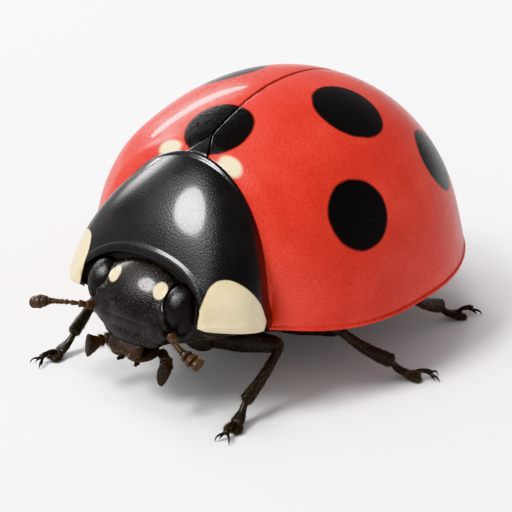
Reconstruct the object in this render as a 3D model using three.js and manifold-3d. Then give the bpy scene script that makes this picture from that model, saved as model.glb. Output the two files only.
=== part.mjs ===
// A seven-spot ladybird, Coccinella septempunctata, at life size: a large adult that stands still.
// Millimetres, +Z up. The head faces -Y, the animal's left is +X and its feet stand on z = 0.
// Places are [x, station, z]: x for the left side, and the station is the distance behind the mouth.
// Each sub-part has a maker that takes a growth, so that a neighbour can be cut to clear it.
import * as THREE from 'three';
import { mergeVertices } from 'three/addons/utils/BufferGeometryUtils.js';
import Module from 'manifold-3d';

const wasm = await Module();
wasm.setup();

// ---------- driving dimensions ----------
const BODY_LENGTH = 8.0; // mouth to the tips of the wing cases
const ELYTRA_WIDTH = 6.2; // across both wing cases
const PRONOTUM_WIDTH = 3.95;
const HEAD_WIDTH = 2.36; // across the eyes
const TOP_HEIGHT = 4.6; // highest point of the wing cases above the floor
const RIM_HEIGHT = 1.32; // lower edge of the wing cases at their widest
const CHEST_HEIGHT = 0.84; // underside of the chest above the floor
const SHOULDER = 1.75; // station where the dome of the wing cases starts, under the pronotum
const SUMMIT = 4.3; // station of the highest point
const WIDEST = 4.75; // station of the greatest width
const THORAX_JOINTS = [3.02, 4.2]; // stations between the chest's two rear parts and the abdomen
const ORIGIN_STATION = 3.84; // station over the origin, halfway along the animal and its feelers
const ELYTRON_WALL = 0.5;
const PRONOTUM_WALL = 0.3;
const FIT = 0.03; // clear gap between neighbours
const SLIVER = 0.004; // after a cut, faces thinner than this are merged into their neighbours
const LEFT = 1;
const RIGHT = -1;

// the shield behind the head: stations of its edges on the middle line, heights of its side edge, and how far
// its front edge dips below the curve of the back
const PRONOTUM = { front: 0.8, rear: 2.18, sideFront: 1.74, sideRear: 1.5, frontDip: 0.28 };
const SCUTELLUM = { halfWidth: 0.34, base: 1.98, tip: 2.6 };

// round parts of the head, pitched so that the face slopes down and forward
const HEAD_PITCH = THREE.MathUtils.degToRad(-35);
const SKULL = { centre: [0, 0.8, 1.78], radii: [1.02, 0.56, 0.82], pitch: HEAD_PITCH, around: 18, down: 11 };
const CLYPEUS = { centre: [0, 0.4, 1.24], radii: [0.56, 0.27, 0.2], pitch: HEAD_PITCH };
const LABRUM = { centre: [0, 0.2, 1.06], radii: [0.42, 0.17, 0.17], pitch: HEAD_PITCH };
const LABIUM = { centre: [0, 0.5, 0.93], radii: [0.24, 0.26, 0.14] };
const EYE_RADII = [0.36, 0.4, 0.47];
const EYE_CENTRE = [HEAD_WIDTH / 2 - EYE_RADII[0], 0.78, 1.88];
const EYE = { centre: EYE_CENTRE, radii: EYE_RADII, pitch: HEAD_PITCH, around: 14, down: 9 };

// bent parts of the head: the places of their middle line, and the radius at the root and the tip
const ANTENNA = {
  path: [[0.8, 0.46, 1.5], [1.12, 0.12, 1.62], [1.5, -0.06, 1.6], [1.86, -0.06, 1.46]],
  root: 0.22, tip: 0.255, stops: [0, 0.08, 0.3, 0.5, 0.7, 0.88, 0.96, 1],
};
const PALP = { path: [[0.44, 0.62, 0.98], [0.72, 0.42, 0.9], [0.84, 0.14, 0.86]], root: 0.2, tip: 0.24 };
const MANDIBLE = { path: [[0.36, 0.46, 1.0], [0.24, 0.22, 0.93], [0.08, 0.12, 0.88]], root: 0.13, tip: 0.06 };

// each leg: its hip joint, knee, ankle and toe, and the radii of the coxa that it turns in
const LEGS = {
  front: {
    coxa: { centre: [0.46, 1.62, 0.84], radii: [0.32, 0.24, 0.24] },
    hip: [0.66, 1.68, 0.82], knee: [1.98, 1.93, 1.04], ankle: [1.94, 0.98, 0.36], toe: [2.08, 0.3, 0.2],
  },
  middle: {
    coxa: { centre: [0.74, 2.74, 0.8], radii: [0.34, 0.26, 0.24] },
    hip: [0.98, 2.8, 0.8], knee: [2.42, 3.0, 1.04], ankle: [3.12, 3.66, 0.36], toe: [3.62, 4.08, 0.2],
  },
  hind: {
    coxa: { centre: [1.05, 4.06, 0.8], radii: [0.66, 0.24, 0.22] },
    hip: [1.5, 4.16, 0.8], knee: [2.7, 4.72, 1.06], ankle: [2.62, 5.88, 0.36], toe: [2.86, 6.5, 0.2],
  },
};
const FEMUR_RADIUS = { end: 0.22, swell: 0.05 };
const TIBIA_RADIUS = 0.225;
const TARSUS_RADIUS = { ankle: 0.22, toe: 0.27 };
const ROUNDED_END = 0.62; // radius of a limb's end face as a share of the limb's radius

// ---------- materials ----------
const finish = (color, roughness) => new THREE.MeshStandardMaterial({ color, roughness, metalness: 0 });
const RED_SHELL = finish(0xd8402c, 0.22);
const BLACK_SHELL = finish(0x1b1817, 0.28);
const BLACK_LIMB = finish(0x231d1a, 0.42);
const BROWN_MOUTH = finish(0x3a2418, 0.4);
const EYE_BLACK = finish(0x0c0b0b, 0.18);

// ---------- solids ----------
const mix = THREE.MathUtils.lerp;
const at = ([x, station, z], side = LEFT) => new THREE.Vector3(side * x, station, z);

/** Six times the volume inside a mesh, negative where its faces point inwards. */
function signedVolume(positions, index) {
  const corners = [new THREE.Vector3(), new THREE.Vector3(), new THREE.Vector3()];
  let sum = 0;
  for (let i = 0; i < index.length; i += 3) {
    const [a, b, c] = corners.map((corner, k) => corner.fromArray(positions, 3 * index[i + k]));
    sum += a.dot(b.cross(c));
  }
  return sum;
}

/** The solid inside a closed geometry, with shared corners merged and faces turned outwards. */
function solidOf(geometry) {
  const bare = new THREE.BufferGeometry();
  bare.setAttribute('position', geometry.getAttribute('position'));
  bare.setIndex(geometry.getIndex());
  const merged = mergeVertices(bare, 1e-5);
  const vertProperties = merged.getAttribute('position').array;
  const triVerts = Uint32Array.from(merged.getIndex().array);
  if (signedVolume(vertProperties, triVerts) < 0) triVerts.reverse();
  return new wasm.Manifold(new wasm.Mesh({ numProp: 3, vertProperties, triVerts }));
}

/** A closed solid through rings of points, with a fan about the middle of each end ring. */
function loft(rings) {
  const count = rings[0].length;
  const middle = (ring) => ring.reduce((sum, p) => sum.add(p), new THREE.Vector3()).divideScalar(count);
  const points = [...rings.flat(), middle(rings[0]), middle(rings.at(-1))];
  const [firstMiddle, lastMiddle] = [points.length - 2, points.length - 1];
  const lastRing = (rings.length - 1) * count;
  const index = [];
  for (let i = 0; i < count; i += 1) {
    const next = (i + 1) % count;
    index.push(firstMiddle, next, i, lastMiddle, lastRing + i, lastRing + next);
    for (let row = 0; row < lastRing; row += count) {
      index.push(row + i, row + next, row + i + count, row + next, row + next + count, row + i + count);
    }
  }
  return solidOf(new THREE.BufferGeometry().setFromPoints(points).setIndex(index));
}

/** A ball stretched to three radii and pitched about the line across the body. */
function ellipsoid({ centre, radii, pitch = 0, around = 12, down = 7 }, side, grow) {
  const ball = new THREE.SphereGeometry(1, around, down);
  ball.scale(...radii.map((radius) => radius + grow));
  ball.rotateX(pitch);
  ball.translate(...at(centre, side).toArray());
  return solidOf(ball);
}

/** A limb along a curve, with its radius a function of 0..1 along it and both ends rounded off. */
function limb(curve, radiusAt, grow, stops = [0, 0.08, 0.3, 0.6, 0.92, 1], sides = 8) {
  const up = new THREE.Vector3(0, 0, 1);
  return loft(stops.map((t) => {
    const along = curve.getTangentAt(t);
    const across = new THREE.Vector3().crossVectors(along, up).normalize();
    const over = new THREE.Vector3().crossVectors(across, along);
    const isEnd = t === 0 || t === 1;
    const radius = (isEnd ? ROUNDED_END : 1) * radiusAt(t) + grow;
    const centre = curve.getPointAt(t).addScaledVector(along, isEnd ? grow * Math.sign(t - 0.5) : 0);
    return Array.from({ length: sides }, (_, i) => {
      const turn = (2 * Math.PI * i) / sides;
      return centre.clone().addScaledVector(across, radius * Math.cos(turn))
        .addScaledVector(over, radius * Math.sin(turn));
    });
  }));
}

/** A box between two corners, given as [x, station, z]. */
function box(low, high) {
  const [from, to] = [at(low), at(high)];
  const block = new THREE.BoxGeometry(...to.clone().sub(from).toArray());
  block.translate(...from.add(to).multiplyScalar(0.5).toArray());
  return solidOf(block);
}

/** A maker's solid, cut to clear each neighbour by the fit gap. */
const fitted = (make, ...neighbours) =>
  neighbours.reduce((solid, neighbour) => solid.subtract(neighbour(FIT)), make(0));

/** The part of a solid between two stations. */
const between = (solid, from, to) => solid.intersect(box([-5, from, 0], [5, to, 6]));

/** The part of a solid on one side of the body's middle plane, half the fit gap away from it. */
const sideOf = (solid, side) => solid.intersect(
  side === LEFT ? box([FIT / 2, -1, 0], [5, 9, 6]) : box([-5, -1, 0], [-FIT / 2, 9, 6]),
);

// ---------- outlines of the body ----------
/** 1 at t = 0, falling to 0 at |t| = 1: a quarter of an ellipse where power is 2 and root is 0.5. */
const quarter = (t, power, root) => Math.max(1 - Math.min(Math.abs(t), 1) ** power, 0) ** root;

/** Half the width of the wing cases at a station, drawn in by an inset. */
function halfWidth(station, inset) {
  const half = ELYTRA_WIDTH / 2 - inset;
  return station < WIDEST
    ? half * quarter((WIDEST - station) / 3.4, 3.2, 0.5)
    : half * quarter((station - WIDEST) / (BODY_LENGTH - inset - WIDEST), 2, 0.54);
}

/** Height of the lower edge of the wing cases: it rises a little towards the shoulders. */
const rim = (station) => RIM_HEIGHT
  + (station < WIDEST ? 0.16 * ((WIDEST - station) / 2.8) ** 2 : -0.08 * ((station - WIDEST) / 3.25) ** 2);

/** Height of the back's middle line at a station, drawn in by an inset. */
function crest(station, inset) {
  const foot = rim(station);
  const rise = TOP_HEIGHT - inset - foot;
  return station < SUMMIT
    ? foot + rise * quarter((SUMMIT - station) / 3.95, 1.85, 1 / 1.85)
    : foot + rise * quarter((station - SUMMIT) / (BODY_LENGTH - inset - SUMMIT), 2.1, 0.5);
}

/** Height of the underside's middle line: lowest at the chest, rising to the tail. */
const belly = (station) => CHEST_HEIGHT + (station < 3 ? 0.05 * (3 - station) : 0.021 * (station - 3) ** 2);

/** An underside between a height at the sides and the belly line: `round` is 0 for a flat one. */
const underside = (station, x, side, round) => side - (side - belly(station)) * (1 - x * x) ** round;

/**
 * A ring across the body: an arched back from edge to edge, then the underside.
 * `stationAt` and `floorAt` are functions of -1..1 across.
 */
function bodyRing(half, edge, top, stationAt, floorAt, over, under = 6) {
  const back = Array.from({ length: over + 1 }, (_, i) => {
    const turn = Math.PI * (i / over - 0.5);
    return at([half * Math.sin(turn), stationAt(Math.sin(turn)), mix(edge, top, Math.cos(turn))]);
  });
  const below = Array.from({ length: under - 1 }, (_, i) => {
    const x = Math.cos((Math.PI * (i + 1)) / under);
    return at([half * x, stationAt(x), floorAt(x)]);
  });
  return [...back, ...below];
}

/** Stations from the widest one to an end, closer together where the dome narrows. */
const stationsTo = (end, count) =>
  Array.from({ length: count + 1 }, (_, i) => mix(WIDEST, end, Math.sin((Math.PI / 2) * (i / count))));

/** The dome of the wing cases, drawn in by an inset and closed below by `floorAt(station, across)`. */
function dome(inset, floorAt, { rows, over, under }) {
  const tail = BODY_LENGTH - inset - SLIVER;
  return loft([...stationsTo(SHOULDER, 6).reverse(), ...stationsTo(tail, rows).slice(1)].map((station) =>
    bodyRing(halfWidth(station, inset), rim(station), crest(station, inset),
      () => station, (x) => floorAt(station, x), over, under)));
}

/** A block with the outline of the pronotum, drawn in by an inset; rows run from 0, its front, to 1. */
function shield(inset, [first, last, count], floorAt, over) {
  return loft(Array.from({ length: count + 1 }, (_, i) => {
    const row = mix(first, last, i / count);
    const half = (PRONOTUM_WIDTH / 2) * (1 - ((row - 0.68) / 1.27) ** 2) - inset;
    const front = (x) => PRONOTUM.front - 0.27 * x ** 4;
    const rear = (x) => PRONOTUM.rear - 0.27 * x ** 2 - 0.13 * x ** 6;
    const stationAt = (x) => mix(front(x), rear(x), row);
    const edge = mix(PRONOTUM.sideFront, PRONOTUM.sideRear, row);
    const dip = PRONOTUM.frontDip * Math.max(1 - row, 0) ** 2;
    const top = crest(stationAt(0), 0) - dip - inset;
    return bodyRing(half, edge, top, stationAt, (x) => floorAt(stationAt(x), x, edge), over);
  }));
}

// ---------- makers of the sub-parts ----------
const openBelow = () => 0.3;
const pronotumBlock = () => shield(0, [0, 1, 7], (_, x, edge) => edge + 0.05 * (1 - x * x), 16);
const pronotumHollow = () => shield(PRONOTUM_WALL, [-0.25, 1.2, 6], openBelow, 12);
const pronotumWedge = () => shield(-FIT, [-0.2, 1 + FIT / 2, 7], openBelow, 16);
const prothorax = () => shield(
  PRONOTUM_WALL + FIT, [0.1, 0.94, 4], (station, x, edge) => underside(station, x, edge, 0.6), 12,
);
const elytraDome = () => dome(0, (station, x) => rim(station) + 0.12 * (1 - x * x), { rows: 8, over: 22 });
const elytraHollow = () => dome(ELYTRON_WALL, openBelow, { rows: 6, over: 16 });
const trunkFloor = (station, x) => underside(station, x, rim(station), 0.42);
const trunk = () => dome(ELYTRON_WALL + FIT, trunkFloor, { rows: 6, over: 14, under: 10 });

/** An upright prism over the small triangle between the bases of the wing cases. */
function scutellumPrism(grow) {
  const { halfWidth: half, base, tip } = SCUTELLUM;
  const corners = [[-half - grow, base], [half + grow, base], [0, tip + 1.5 * grow]];
  const outline = new THREE.Shape(corners.map(([x, station]) => new THREE.Vector2(x, station)));
  const prism = new THREE.ExtrudeGeometry(outline, { depth: TOP_HEIGHT, bevelEnabled: false });
  prism.setIndex(Array.from({ length: prism.getAttribute('position').count }, (_, i) => i));
  return solidOf(prism);
}

/** A bent part of the head along its path. */
function feeler({ path, root, tip, stops }, side, grow) {
  const curve = new THREE.CatmullRomCurve3(path.map((place) => at(place, side)));
  return limb(curve, (t) => mix(root, tip, t), grow, stops);
}

/** One straight length of a leg. */
const bone = (from, to, side, radiusAt, grow) =>
  limb(new THREE.LineCurve3(at(from, side), at(to, side)), radiusAt, grow);

const head = (grow) => ellipsoid(SKULL, LEFT, grow).add(ellipsoid(CLYPEUS, LEFT, grow));
const labrum = (grow) => ellipsoid(LABRUM, LEFT, grow);
const labium = (grow) => ellipsoid(LABIUM, LEFT, grow);
const eye = (side) => (grow) => ellipsoid(EYE, side, grow);
const antenna = (side) => (grow) => feeler(ANTENNA, side, grow);
const palp = (side) => (grow) => feeler(PALP, side, grow);
const mandible = (side) => (grow) => feeler(MANDIBLE, side, grow);
const coxa = (leg, side) => (grow) => ellipsoid(leg.coxa, side, grow);
const femur = (leg, side) => (grow) => bone(
  leg.hip, leg.knee, side, (t) => FEMUR_RADIUS.end + FEMUR_RADIUS.swell * Math.sin(Math.PI * t), grow,
);
const tibia = (leg, side) => (grow) => bone(leg.knee, leg.ankle, side, () => TIBIA_RADIUS, grow);

/** The foot, laid out from the ankle and cut flat where it stands on the floor. */
const tarsus = (leg, side) => (grow) => bone(
  leg.ankle, leg.toe, side, (t) => mix(TARSUS_RADIUS.ankle, TARSUS_RADIUS.toe, t), grow,
).subtract(box([-6, -3, -1], [6, 9, 0]));

// ---------- the model ----------
const ladybird = new THREE.Group();
const body = new THREE.Group();
body.position.y = -ORIGIN_STATION;
ladybird.add(body);

/** Adds a solid to the body as a mesh, with its geometry about `place` and its position there. */
function addPart(name, solid, material, place = [0, 0, 0], side = LEFT) {
  const { vertProperties, triVerts } = solid.asOriginal().simplify(SLIVER).getMesh();
  const pivot = at(place, side);
  const geometry = new THREE.BufferGeometry();
  geometry.setAttribute('position', new THREE.Float32BufferAttribute(vertProperties, 3));
  geometry.setIndex(Array.from(triVerts));
  geometry.translate(...pivot.clone().negate().toArray());
  geometry.computeVertexNormals();
  const part = new THREE.Mesh(geometry, material);
  part.name = name;
  part.position.copy(pivot);
  body.add(part);
}

const SIDES = { left: LEFT, right: RIGHT };
const bothSides = (make) => [make(LEFT), make(RIGHT)];
const eyes = bothSides(eye);
const palps = bothSides(palp);
const mandibles = bothSides(mandible);
const hips = Object.values(LEGS).flatMap((leg) =>
  bothSides((side) => [coxa(leg, side), femur(leg, side), tibia(leg, side)]).flat());

addPart('head', fitted(head, ...eyes), BLACK_SHELL, SKULL.centre);
addPart('labrum', fitted(labrum, head), BROWN_MOUTH, LABRUM.centre);
addPart('labium', fitted(labium, head, ...palps, ...mandibles), BROWN_MOUTH, LABIUM.centre);
for (const [name, side] of Object.entries(SIDES)) {
  addPart(`eye_${name}`, eye(side)(0), EYE_BLACK, EYE.centre, side);
  addPart(`antenna_${name}`, fitted(antenna(side), head, eye(side)), BROWN_MOUTH, ANTENNA.path[0], side);
  addPart(`maxillary_palp_${name}`, fitted(palp(side), head), BROWN_MOUTH, PALP.path[0], side);
  const jaw = fitted(mandible(side), head, labrum, palp(side));
  addPart(`mandible_${name}`, jaw, BROWN_MOUTH, MANDIBLE.path[0], side);
}

addPart('pronotum', fitted(pronotumBlock, head, ...eyes).subtract(pronotumHollow()), BLACK_SHELL);
addPart('prothorax', fitted(prothorax, head, ...eyes, ...hips), BLACK_SHELL);

const rearTrunk = fitted(trunk, ...hips).subtract(pronotumWedge());
const [chestJoint, waist] = THORAX_JOINTS;
addPart('mesothorax', between(rearTrunk, SHOULDER, chestJoint), BLACK_SHELL);
addPart('metathorax', between(rearTrunk, chestJoint + FIT, waist), BLACK_SHELL);
addPart('abdomen', between(rearTrunk, waist + FIT, BODY_LENGTH), BLACK_SHELL);

const shell = elytraDome().subtract(pronotumWedge()).subtract(elytraHollow());
addPart('scutellum', shell.intersect(scutellumPrism(0)), BLACK_SHELL);
const wingCases = shell.subtract(scutellumPrism(FIT));
for (const [name, side] of Object.entries(SIDES)) {
  addPart(`elytron_${name}`, sideOf(wingCases, side), RED_SHELL);
}

for (const [place, leg] of Object.entries(LEGS)) {
  for (const [name, side] of Object.entries(SIDES)) {
    const [hip, thigh, shin, foot] = [coxa, femur, tibia, tarsus].map((make) => make(leg, side));
    addPart(`coxa_${place}_${name}`, hip(0), BLACK_LIMB, leg.coxa.centre, side);
    addPart(`femur_${place}_${name}`, fitted(thigh, hip), BLACK_LIMB, leg.hip, side);
    addPart(`tibia_${place}_${name}`, fitted(shin, thigh), BLACK_LIMB, leg.knee, side);
    addPart(`tarsus_${place}_${name}`, fitted(foot, shin), BLACK_LIMB, leg.ankle, side);
  }
}

export default ladybird;
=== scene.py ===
"""A seven-spot ladybird, Coccinella septempunctata, standing at life size: its surfaces, hairs and finishes.

Shapes are worked out in millimetres, as arrays whose last axis is (x, station, z): x towards the animal's
left, the station from the front of the mouth back, and z up from the floor. A piece's mesh is turned to
metres and to the frame's own y at the very end, in to_frame.
"""
import math

import bpy
import numpy as np
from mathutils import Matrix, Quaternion, Vector


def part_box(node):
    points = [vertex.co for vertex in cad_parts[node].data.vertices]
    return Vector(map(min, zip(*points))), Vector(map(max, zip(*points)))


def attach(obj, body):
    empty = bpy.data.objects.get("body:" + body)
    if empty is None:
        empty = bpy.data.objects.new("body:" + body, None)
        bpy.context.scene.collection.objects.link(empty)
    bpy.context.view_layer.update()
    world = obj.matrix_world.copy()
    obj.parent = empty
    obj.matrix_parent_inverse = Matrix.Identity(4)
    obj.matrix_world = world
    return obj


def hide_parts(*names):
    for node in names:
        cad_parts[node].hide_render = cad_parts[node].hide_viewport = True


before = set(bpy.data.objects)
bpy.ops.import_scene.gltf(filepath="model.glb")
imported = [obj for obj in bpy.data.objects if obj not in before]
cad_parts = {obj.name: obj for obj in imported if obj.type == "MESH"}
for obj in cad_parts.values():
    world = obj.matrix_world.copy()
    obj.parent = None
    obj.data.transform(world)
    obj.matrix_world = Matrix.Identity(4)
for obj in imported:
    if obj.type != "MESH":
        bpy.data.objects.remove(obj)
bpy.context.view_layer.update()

# ---------- driving dimensions, in millimetres ----------
MM = 0.001
BODY_LENGTH = 8.0  # from the front of the mouth to the tips of the wing cases
ORIGIN_STATION = BODY_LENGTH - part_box("elytron_left")[1][1] / MM  # station over the frame's origin
ELYTRA_WIDTH = 6.2
PRONOTUM_WIDTH = 3.95
HEAD_WIDTH = 2.36  # across the eyes
TOP_HEIGHT = 4.6
RIM_HEIGHT = 1.32  # of the wing cases' lower edge, where they are widest
CHEST_HEIGHT = 0.84  # from the floor to the lowest part of the chest
SUMMIT = 4.3  # station of the highest part of the back
WIDEST = 4.75  # station of the widest part of the wing cases
# curves of the wing cases' half-width and of the back: how far the front one reaches, and the power and root
# of the front and the rear one
WIDTH_CURVES = {"reach": 3.4, "front": (3.2, 0.5), "rear": (2.0, 0.54)}
BACK_CURVES = {"reach": 3.95, "front": (1.85, 1 / 1.85), "rear": (2.1, 0.5)}
# how far the rim rises at the shoulders and drops at the tail, and how far forward the shoulders are
RIM = {"rise": 0.16, "drop": 0.08, "shoulders": 2.8}
# the underside's middle line: station of its lowest part, its slope forwards and how it curves up behind
BELLY = {"lowest": 3.0, "slope": 0.05, "curve": 0.021}
# the pronotum: stations of its edges on the middle line, heights of its side edge, the dip of its front edge
# below the curve of the back, how far the edges bow forwards to the sides, and the row of its widest part
# with the number of rows from there to where its outline would close
PRONOTUM = {"front": 0.8, "rear": 2.18, "side_front": 1.74, "side_rear": 1.5, "front_dip": 0.28,
            "front_bow": 0.27, "rear_bow": 0.27, "corner_bow": 0.13,
            "widest_row": 0.68, "rows_to_close": 1.27}
SCUTELLUM = {"half_width": 0.3, "base": 2.02, "tip": 2.56}
THORAX_JOINTS = (2.05, 3.02, 4.2)  # stations where the middle chest, the rear chest and the belly start
THORAX_BOW = 0.36  # how far forward the middle chest reaches at its sides
TRUNK_INSET = 0.53  # from the wing cases' skin in to the trunk
WALL = 0.14  # thickness of the wing cases and the pronotum
SIDES = {"left": 1.0, "right": -1.0}
UP = np.array([0.0, 0.0, 1.0])
rng = np.random.default_rng(7)


# ---------- numbers over a range ----------
def smooth(a, b, t):
    """0 up to a, 1 from b on, and an S curve between them."""
    u = np.clip((t - a) / (b - a), 0.0, 1.0)
    return u * u * (3.0 - 2.0 * u)


def mix(a, b, t):
    """The value t of the way from a to b."""
    return a + (b - a) * t


def bell(t, centre, width):
    """A hump of height 1 at the centre: e to the minus square of the distance over the width."""
    return np.exp(-(((t - centre) / width) ** 2))


def quarter(t, power=2, root=0.5):
    """1 at t = 0 falling to 0 at 1, (1 - t^power)^root: a quarter of an ellipse for 2 and 0.5."""
    return np.maximum(1.0 - np.clip(np.abs(t), 0.0, 1.0) ** power, 0.0) ** root


def unit(vectors):
    """Vectors of length 1 along the last axis."""
    return vectors / np.maximum(np.linalg.norm(vectors, axis=-1, keepdims=True), 1e-12)


def spans(*pairs):
    """One rising array from 0 through several spans, each given as (end, steps)."""
    values, start = [np.zeros(1)], 0.0
    for end, steps in pairs:
        values.append(np.linspace(start, end, steps + 1)[1:])
        start = end
    return np.concatenate(values)


def eased(count):
    """0..1 in `count` values, closer together at both ends: half of 1 minus the cosine."""
    return (1 - np.cos(np.linspace(0, np.pi, count))) / 2


def spline(places, t):
    """A smooth curve through places at t = 0..1: a cubic between each two, whose slope at a place is half the
    step from the place before it to the place after it."""
    places = np.asarray(places, float)
    padded = np.concatenate([2 * places[:1] - places[1:2], places, 2 * places[-1:] - places[-2:-1]])
    reach = np.clip(t, 0, 1) * (len(places) - 1)
    first = np.minimum(reach.astype(int), len(places) - 2)
    u = (reach - first)[:, None]
    a, b, c, d = (padded[first + k] for k in range(4))
    return b + 0.5 * u * (c - a + u * (2 * a - 5 * b + 4 * c - d + u * (3 * (b - c) + d - a)))


def along(places, share):
    """Points at shares 0..1 of the length of the spline through places."""
    fine = spline(places, np.linspace(0, 1, 300))
    reach = np.concatenate([[0], np.cumsum(np.linalg.norm(np.diff(fine, axis=0), axis=1))])
    return np.stack([np.interp(share * reach[-1], reach, fine[:, k]) for k in range(3)], -1)


def through(t, *marks):
    """The height at t of a smooth line through marks, each given as (t, height)."""
    line = spline(marks, np.linspace(0, 1, 200))
    return np.interp(t, line[:, 0], line[:, 1])


def shut(t, first, last):
    """1 between the two ends of 0..1, closing to 0 at each as a quarter circle over `first` and `last`."""
    return quarter(1 - t / first) ** (t < first) * quarter(1 - (1 - t) / last) ** (t > 1 - last)


# ---------- outlines of the body ----------
def both_ways(station, peak, curves, inset):
    """1 at a peak's station, falling to 0 over the reach in front of it and to the tail behind it, each way
    as a quarter curve."""
    front = quarter((peak - station) / curves["reach"], *curves["front"])
    rear = quarter((station - peak) / (BODY_LENGTH - inset - peak), *curves["rear"])
    return np.where(station < peak, front, rear)


def half_width(station, inset=0.0):
    """Half the width of the wing cases."""
    return (ELYTRA_WIDTH / 2 - inset) * both_ways(station, WIDEST, WIDTH_CURVES, inset)


def rim(station):
    """Height of the lower edge of the wing cases: a parabola each way from the widest station."""
    front = RIM["rise"] * ((WIDEST - station) / RIM["shoulders"]) ** 2
    rear = -RIM["drop"] * ((station - WIDEST) / (BODY_LENGTH - WIDEST)) ** 2
    return RIM_HEIGHT + np.where(station < WIDEST, front, rear)


def crest(station, inset=0.0):
    """Height of the back's middle line."""
    rise = TOP_HEIGHT - inset - rim(station)
    return rim(station) + rise * both_ways(station, SUMMIT, BACK_CURVES, inset)


def dome_height(x, station, inset=0.0):
    """Height of the wing cases' skin over a place: an ellipse across, from rim to crest to rim."""
    across = np.clip(np.abs(x) / np.maximum(half_width(station, inset), 1e-6), 0, 1)
    return rim(station) + (crest(station, inset) - rim(station)) * np.sqrt(1 - across**2)


def belly(station):
    """Height of the underside's middle line: a slope in front of its lowest part and a parabola behind it."""
    behind = station - BELLY["lowest"]
    return CHEST_HEIGHT + np.where(behind < 0, -BELLY["slope"] * behind, BELLY["curve"] * behind**2)


# ---------- meshes ----------
SHRUNK = 1e-6  # across a ring that counts as a point


def to_frame(points):
    """Millimetres (x, station, z) as metres in the frame."""
    return (np.asarray(points, float) - [0, ORIGIN_STATION, 0]) * MM


def inward(verts, tris):
    """Whether triangles face into the shape that they close: the sum of a . (b x c) is negative."""
    a, b, c = (verts[tris[:, k]] for k in range(3))
    return float(np.einsum("ij,ij->i", a, np.cross(b, c)).sum()) < 0


def build(name, shape, material, slot, nodes=(), **maps):
    """A smooth piece from (verts, quads, tris) with its material, the CAD nodes that it stands for and its
    maps, each with a place for every vertex. Its slot is not used."""
    verts, quads, tris = shape
    quads = np.asarray(quads, np.int32).reshape(-1, 4)
    tris = np.asarray(tris, np.int32).reshape(-1, 3)
    if inward(verts - verts.mean(0), np.concatenate([quads[:, :3], quads[:, [0, 2, 3]], tris])):
        quads, tris = quads[:, ::-1], tris[:, ::-1]
    corners = np.concatenate([quads.ravel(), tris.ravel()]).astype(np.int32)
    sizes = np.repeat([4, 3], [len(quads), len(tris)]).astype(np.int32)
    mesh = bpy.data.meshes.new(name)
    mesh.vertices.add(len(verts))
    mesh.vertices.foreach_set("co", to_frame(verts).astype(np.float32).ravel())
    mesh.loops.add(len(corners))
    mesh.loops.foreach_set("vertex_index", corners)
    mesh.polygons.add(len(sizes))
    mesh.polygons.foreach_set("loop_start", (np.cumsum(sizes) - sizes).astype(np.int32))
    mesh.polygons.foreach_set("loop_total", sizes)
    mesh.polygons.foreach_set("use_smooth", np.ones(len(sizes), bool))
    for key, places in maps.items():
        mesh.uv_layers.new(name=key).data.foreach_set("uv", places[corners].astype(np.float32).ravel())
    mesh.update(calc_edges=True)
    mesh.materials.append(material)
    piece = bpy.data.objects.new(name, mesh)
    bpy.context.scene.collection.objects.link(piece)
    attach(piece, "root")
    if nodes:
        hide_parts(*nodes)
    return piece


def wrapped(points):
    """The quads round each two rings of a grid (rows, columns, 3) that is closed round its columns."""
    rows, cols = points.shape[:2]
    i = np.arange(cols)
    j = (i + 1) % cols
    start = np.arange(rows - 1)[:, None] * cols
    return np.stack([start + i, start + j, start + j + cols, start + i + cols], -1).reshape(-1, 4)


def closed(points):
    """A grid of points as a shape, with a fan over each end ring. An end ring that has shrunk to a point is
    left out, and the fan meets there."""
    poles = points[[0, -1]].mean(1)
    first, last = np.ptp(points[[0, -1]], axis=1).max(-1) < SHRUNK
    points = points[int(first):len(points) - int(last)]
    rows, cols = points.shape[:2]
    verts = np.concatenate([points.reshape(-1, 3), poles])
    i = np.arange(cols)
    j = (i + 1) % cols
    end = (rows - 1) * cols
    near = np.stack([np.full(cols, rows * cols), j, i], 1)
    far = np.stack([np.full(cols, rows * cols + 1), end + i, end + j], 1)
    return verts, wrapped(points), np.concatenate([near, far])


def shell(points):
    """A grid of points as the shape of a thin wall: the first half of each ring is its outer face and the
    second half its inner one, coming back. Each end ring is filled with quads from one face to the other."""
    rows, cols = points.shape[:2]
    i = np.arange(cols // 2 - 1)
    near = np.stack([cols - 1 - i, cols - 2 - i, i + 1, i], 1)
    far = np.stack([i, i + 1, cols - 2 - i, cols - 1 - i], 1) + (rows - 1) * cols
    return points.reshape(-1, 3), np.concatenate([wrapped(points), near, far]), np.zeros((0, 3))


def ball_map(verts, centre, radii, pole):
    """A map in millimetres: each point's direction from the middle of a ball of three radii, laid flat round
    a pole by its angle from it. No pole lies along the way that the map's first axis is square to."""
    ways, pole = unit((verts - centre) / radii), unit(np.asarray(pole, float))
    aside = unit(np.cross(pole, [0.0, 1.0, 0.05]))
    flat = np.stack([ways @ aside, ways @ np.cross(pole, aside)], -1)
    return unit(flat) * np.arccos(np.clip(ways @ pole, -1, 1))[:, None] * np.mean(radii)


def joined(shapes):
    """Several shapes as one."""
    starts = np.cumsum([0] + [len(verts) for verts, _, _ in shapes])
    verts = np.concatenate([verts for verts, _, _ in shapes])
    quads = np.concatenate([np.asarray(q).reshape(-1, 4) + start for (_, q, _), start in zip(shapes, starts)])
    tris = np.concatenate([np.asarray(t).reshape(-1, 3) + start for (_, _, t), start in zip(shapes, starts)])
    return verts, quads, tris


def normals(points):
    """Unit normals of a grid closed round its columns: the slope round it crossed with the slope along it."""
    around = np.roll(points, -1, 1) - np.roll(points, 1, 1)
    normal = unit(np.cross(around, np.gradient(points, axis=0)))
    outward = np.einsum("rck,rck->", normal, points - points.mean((0, 1)))
    return normal * (1 if outward > 0 else -1)


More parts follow.
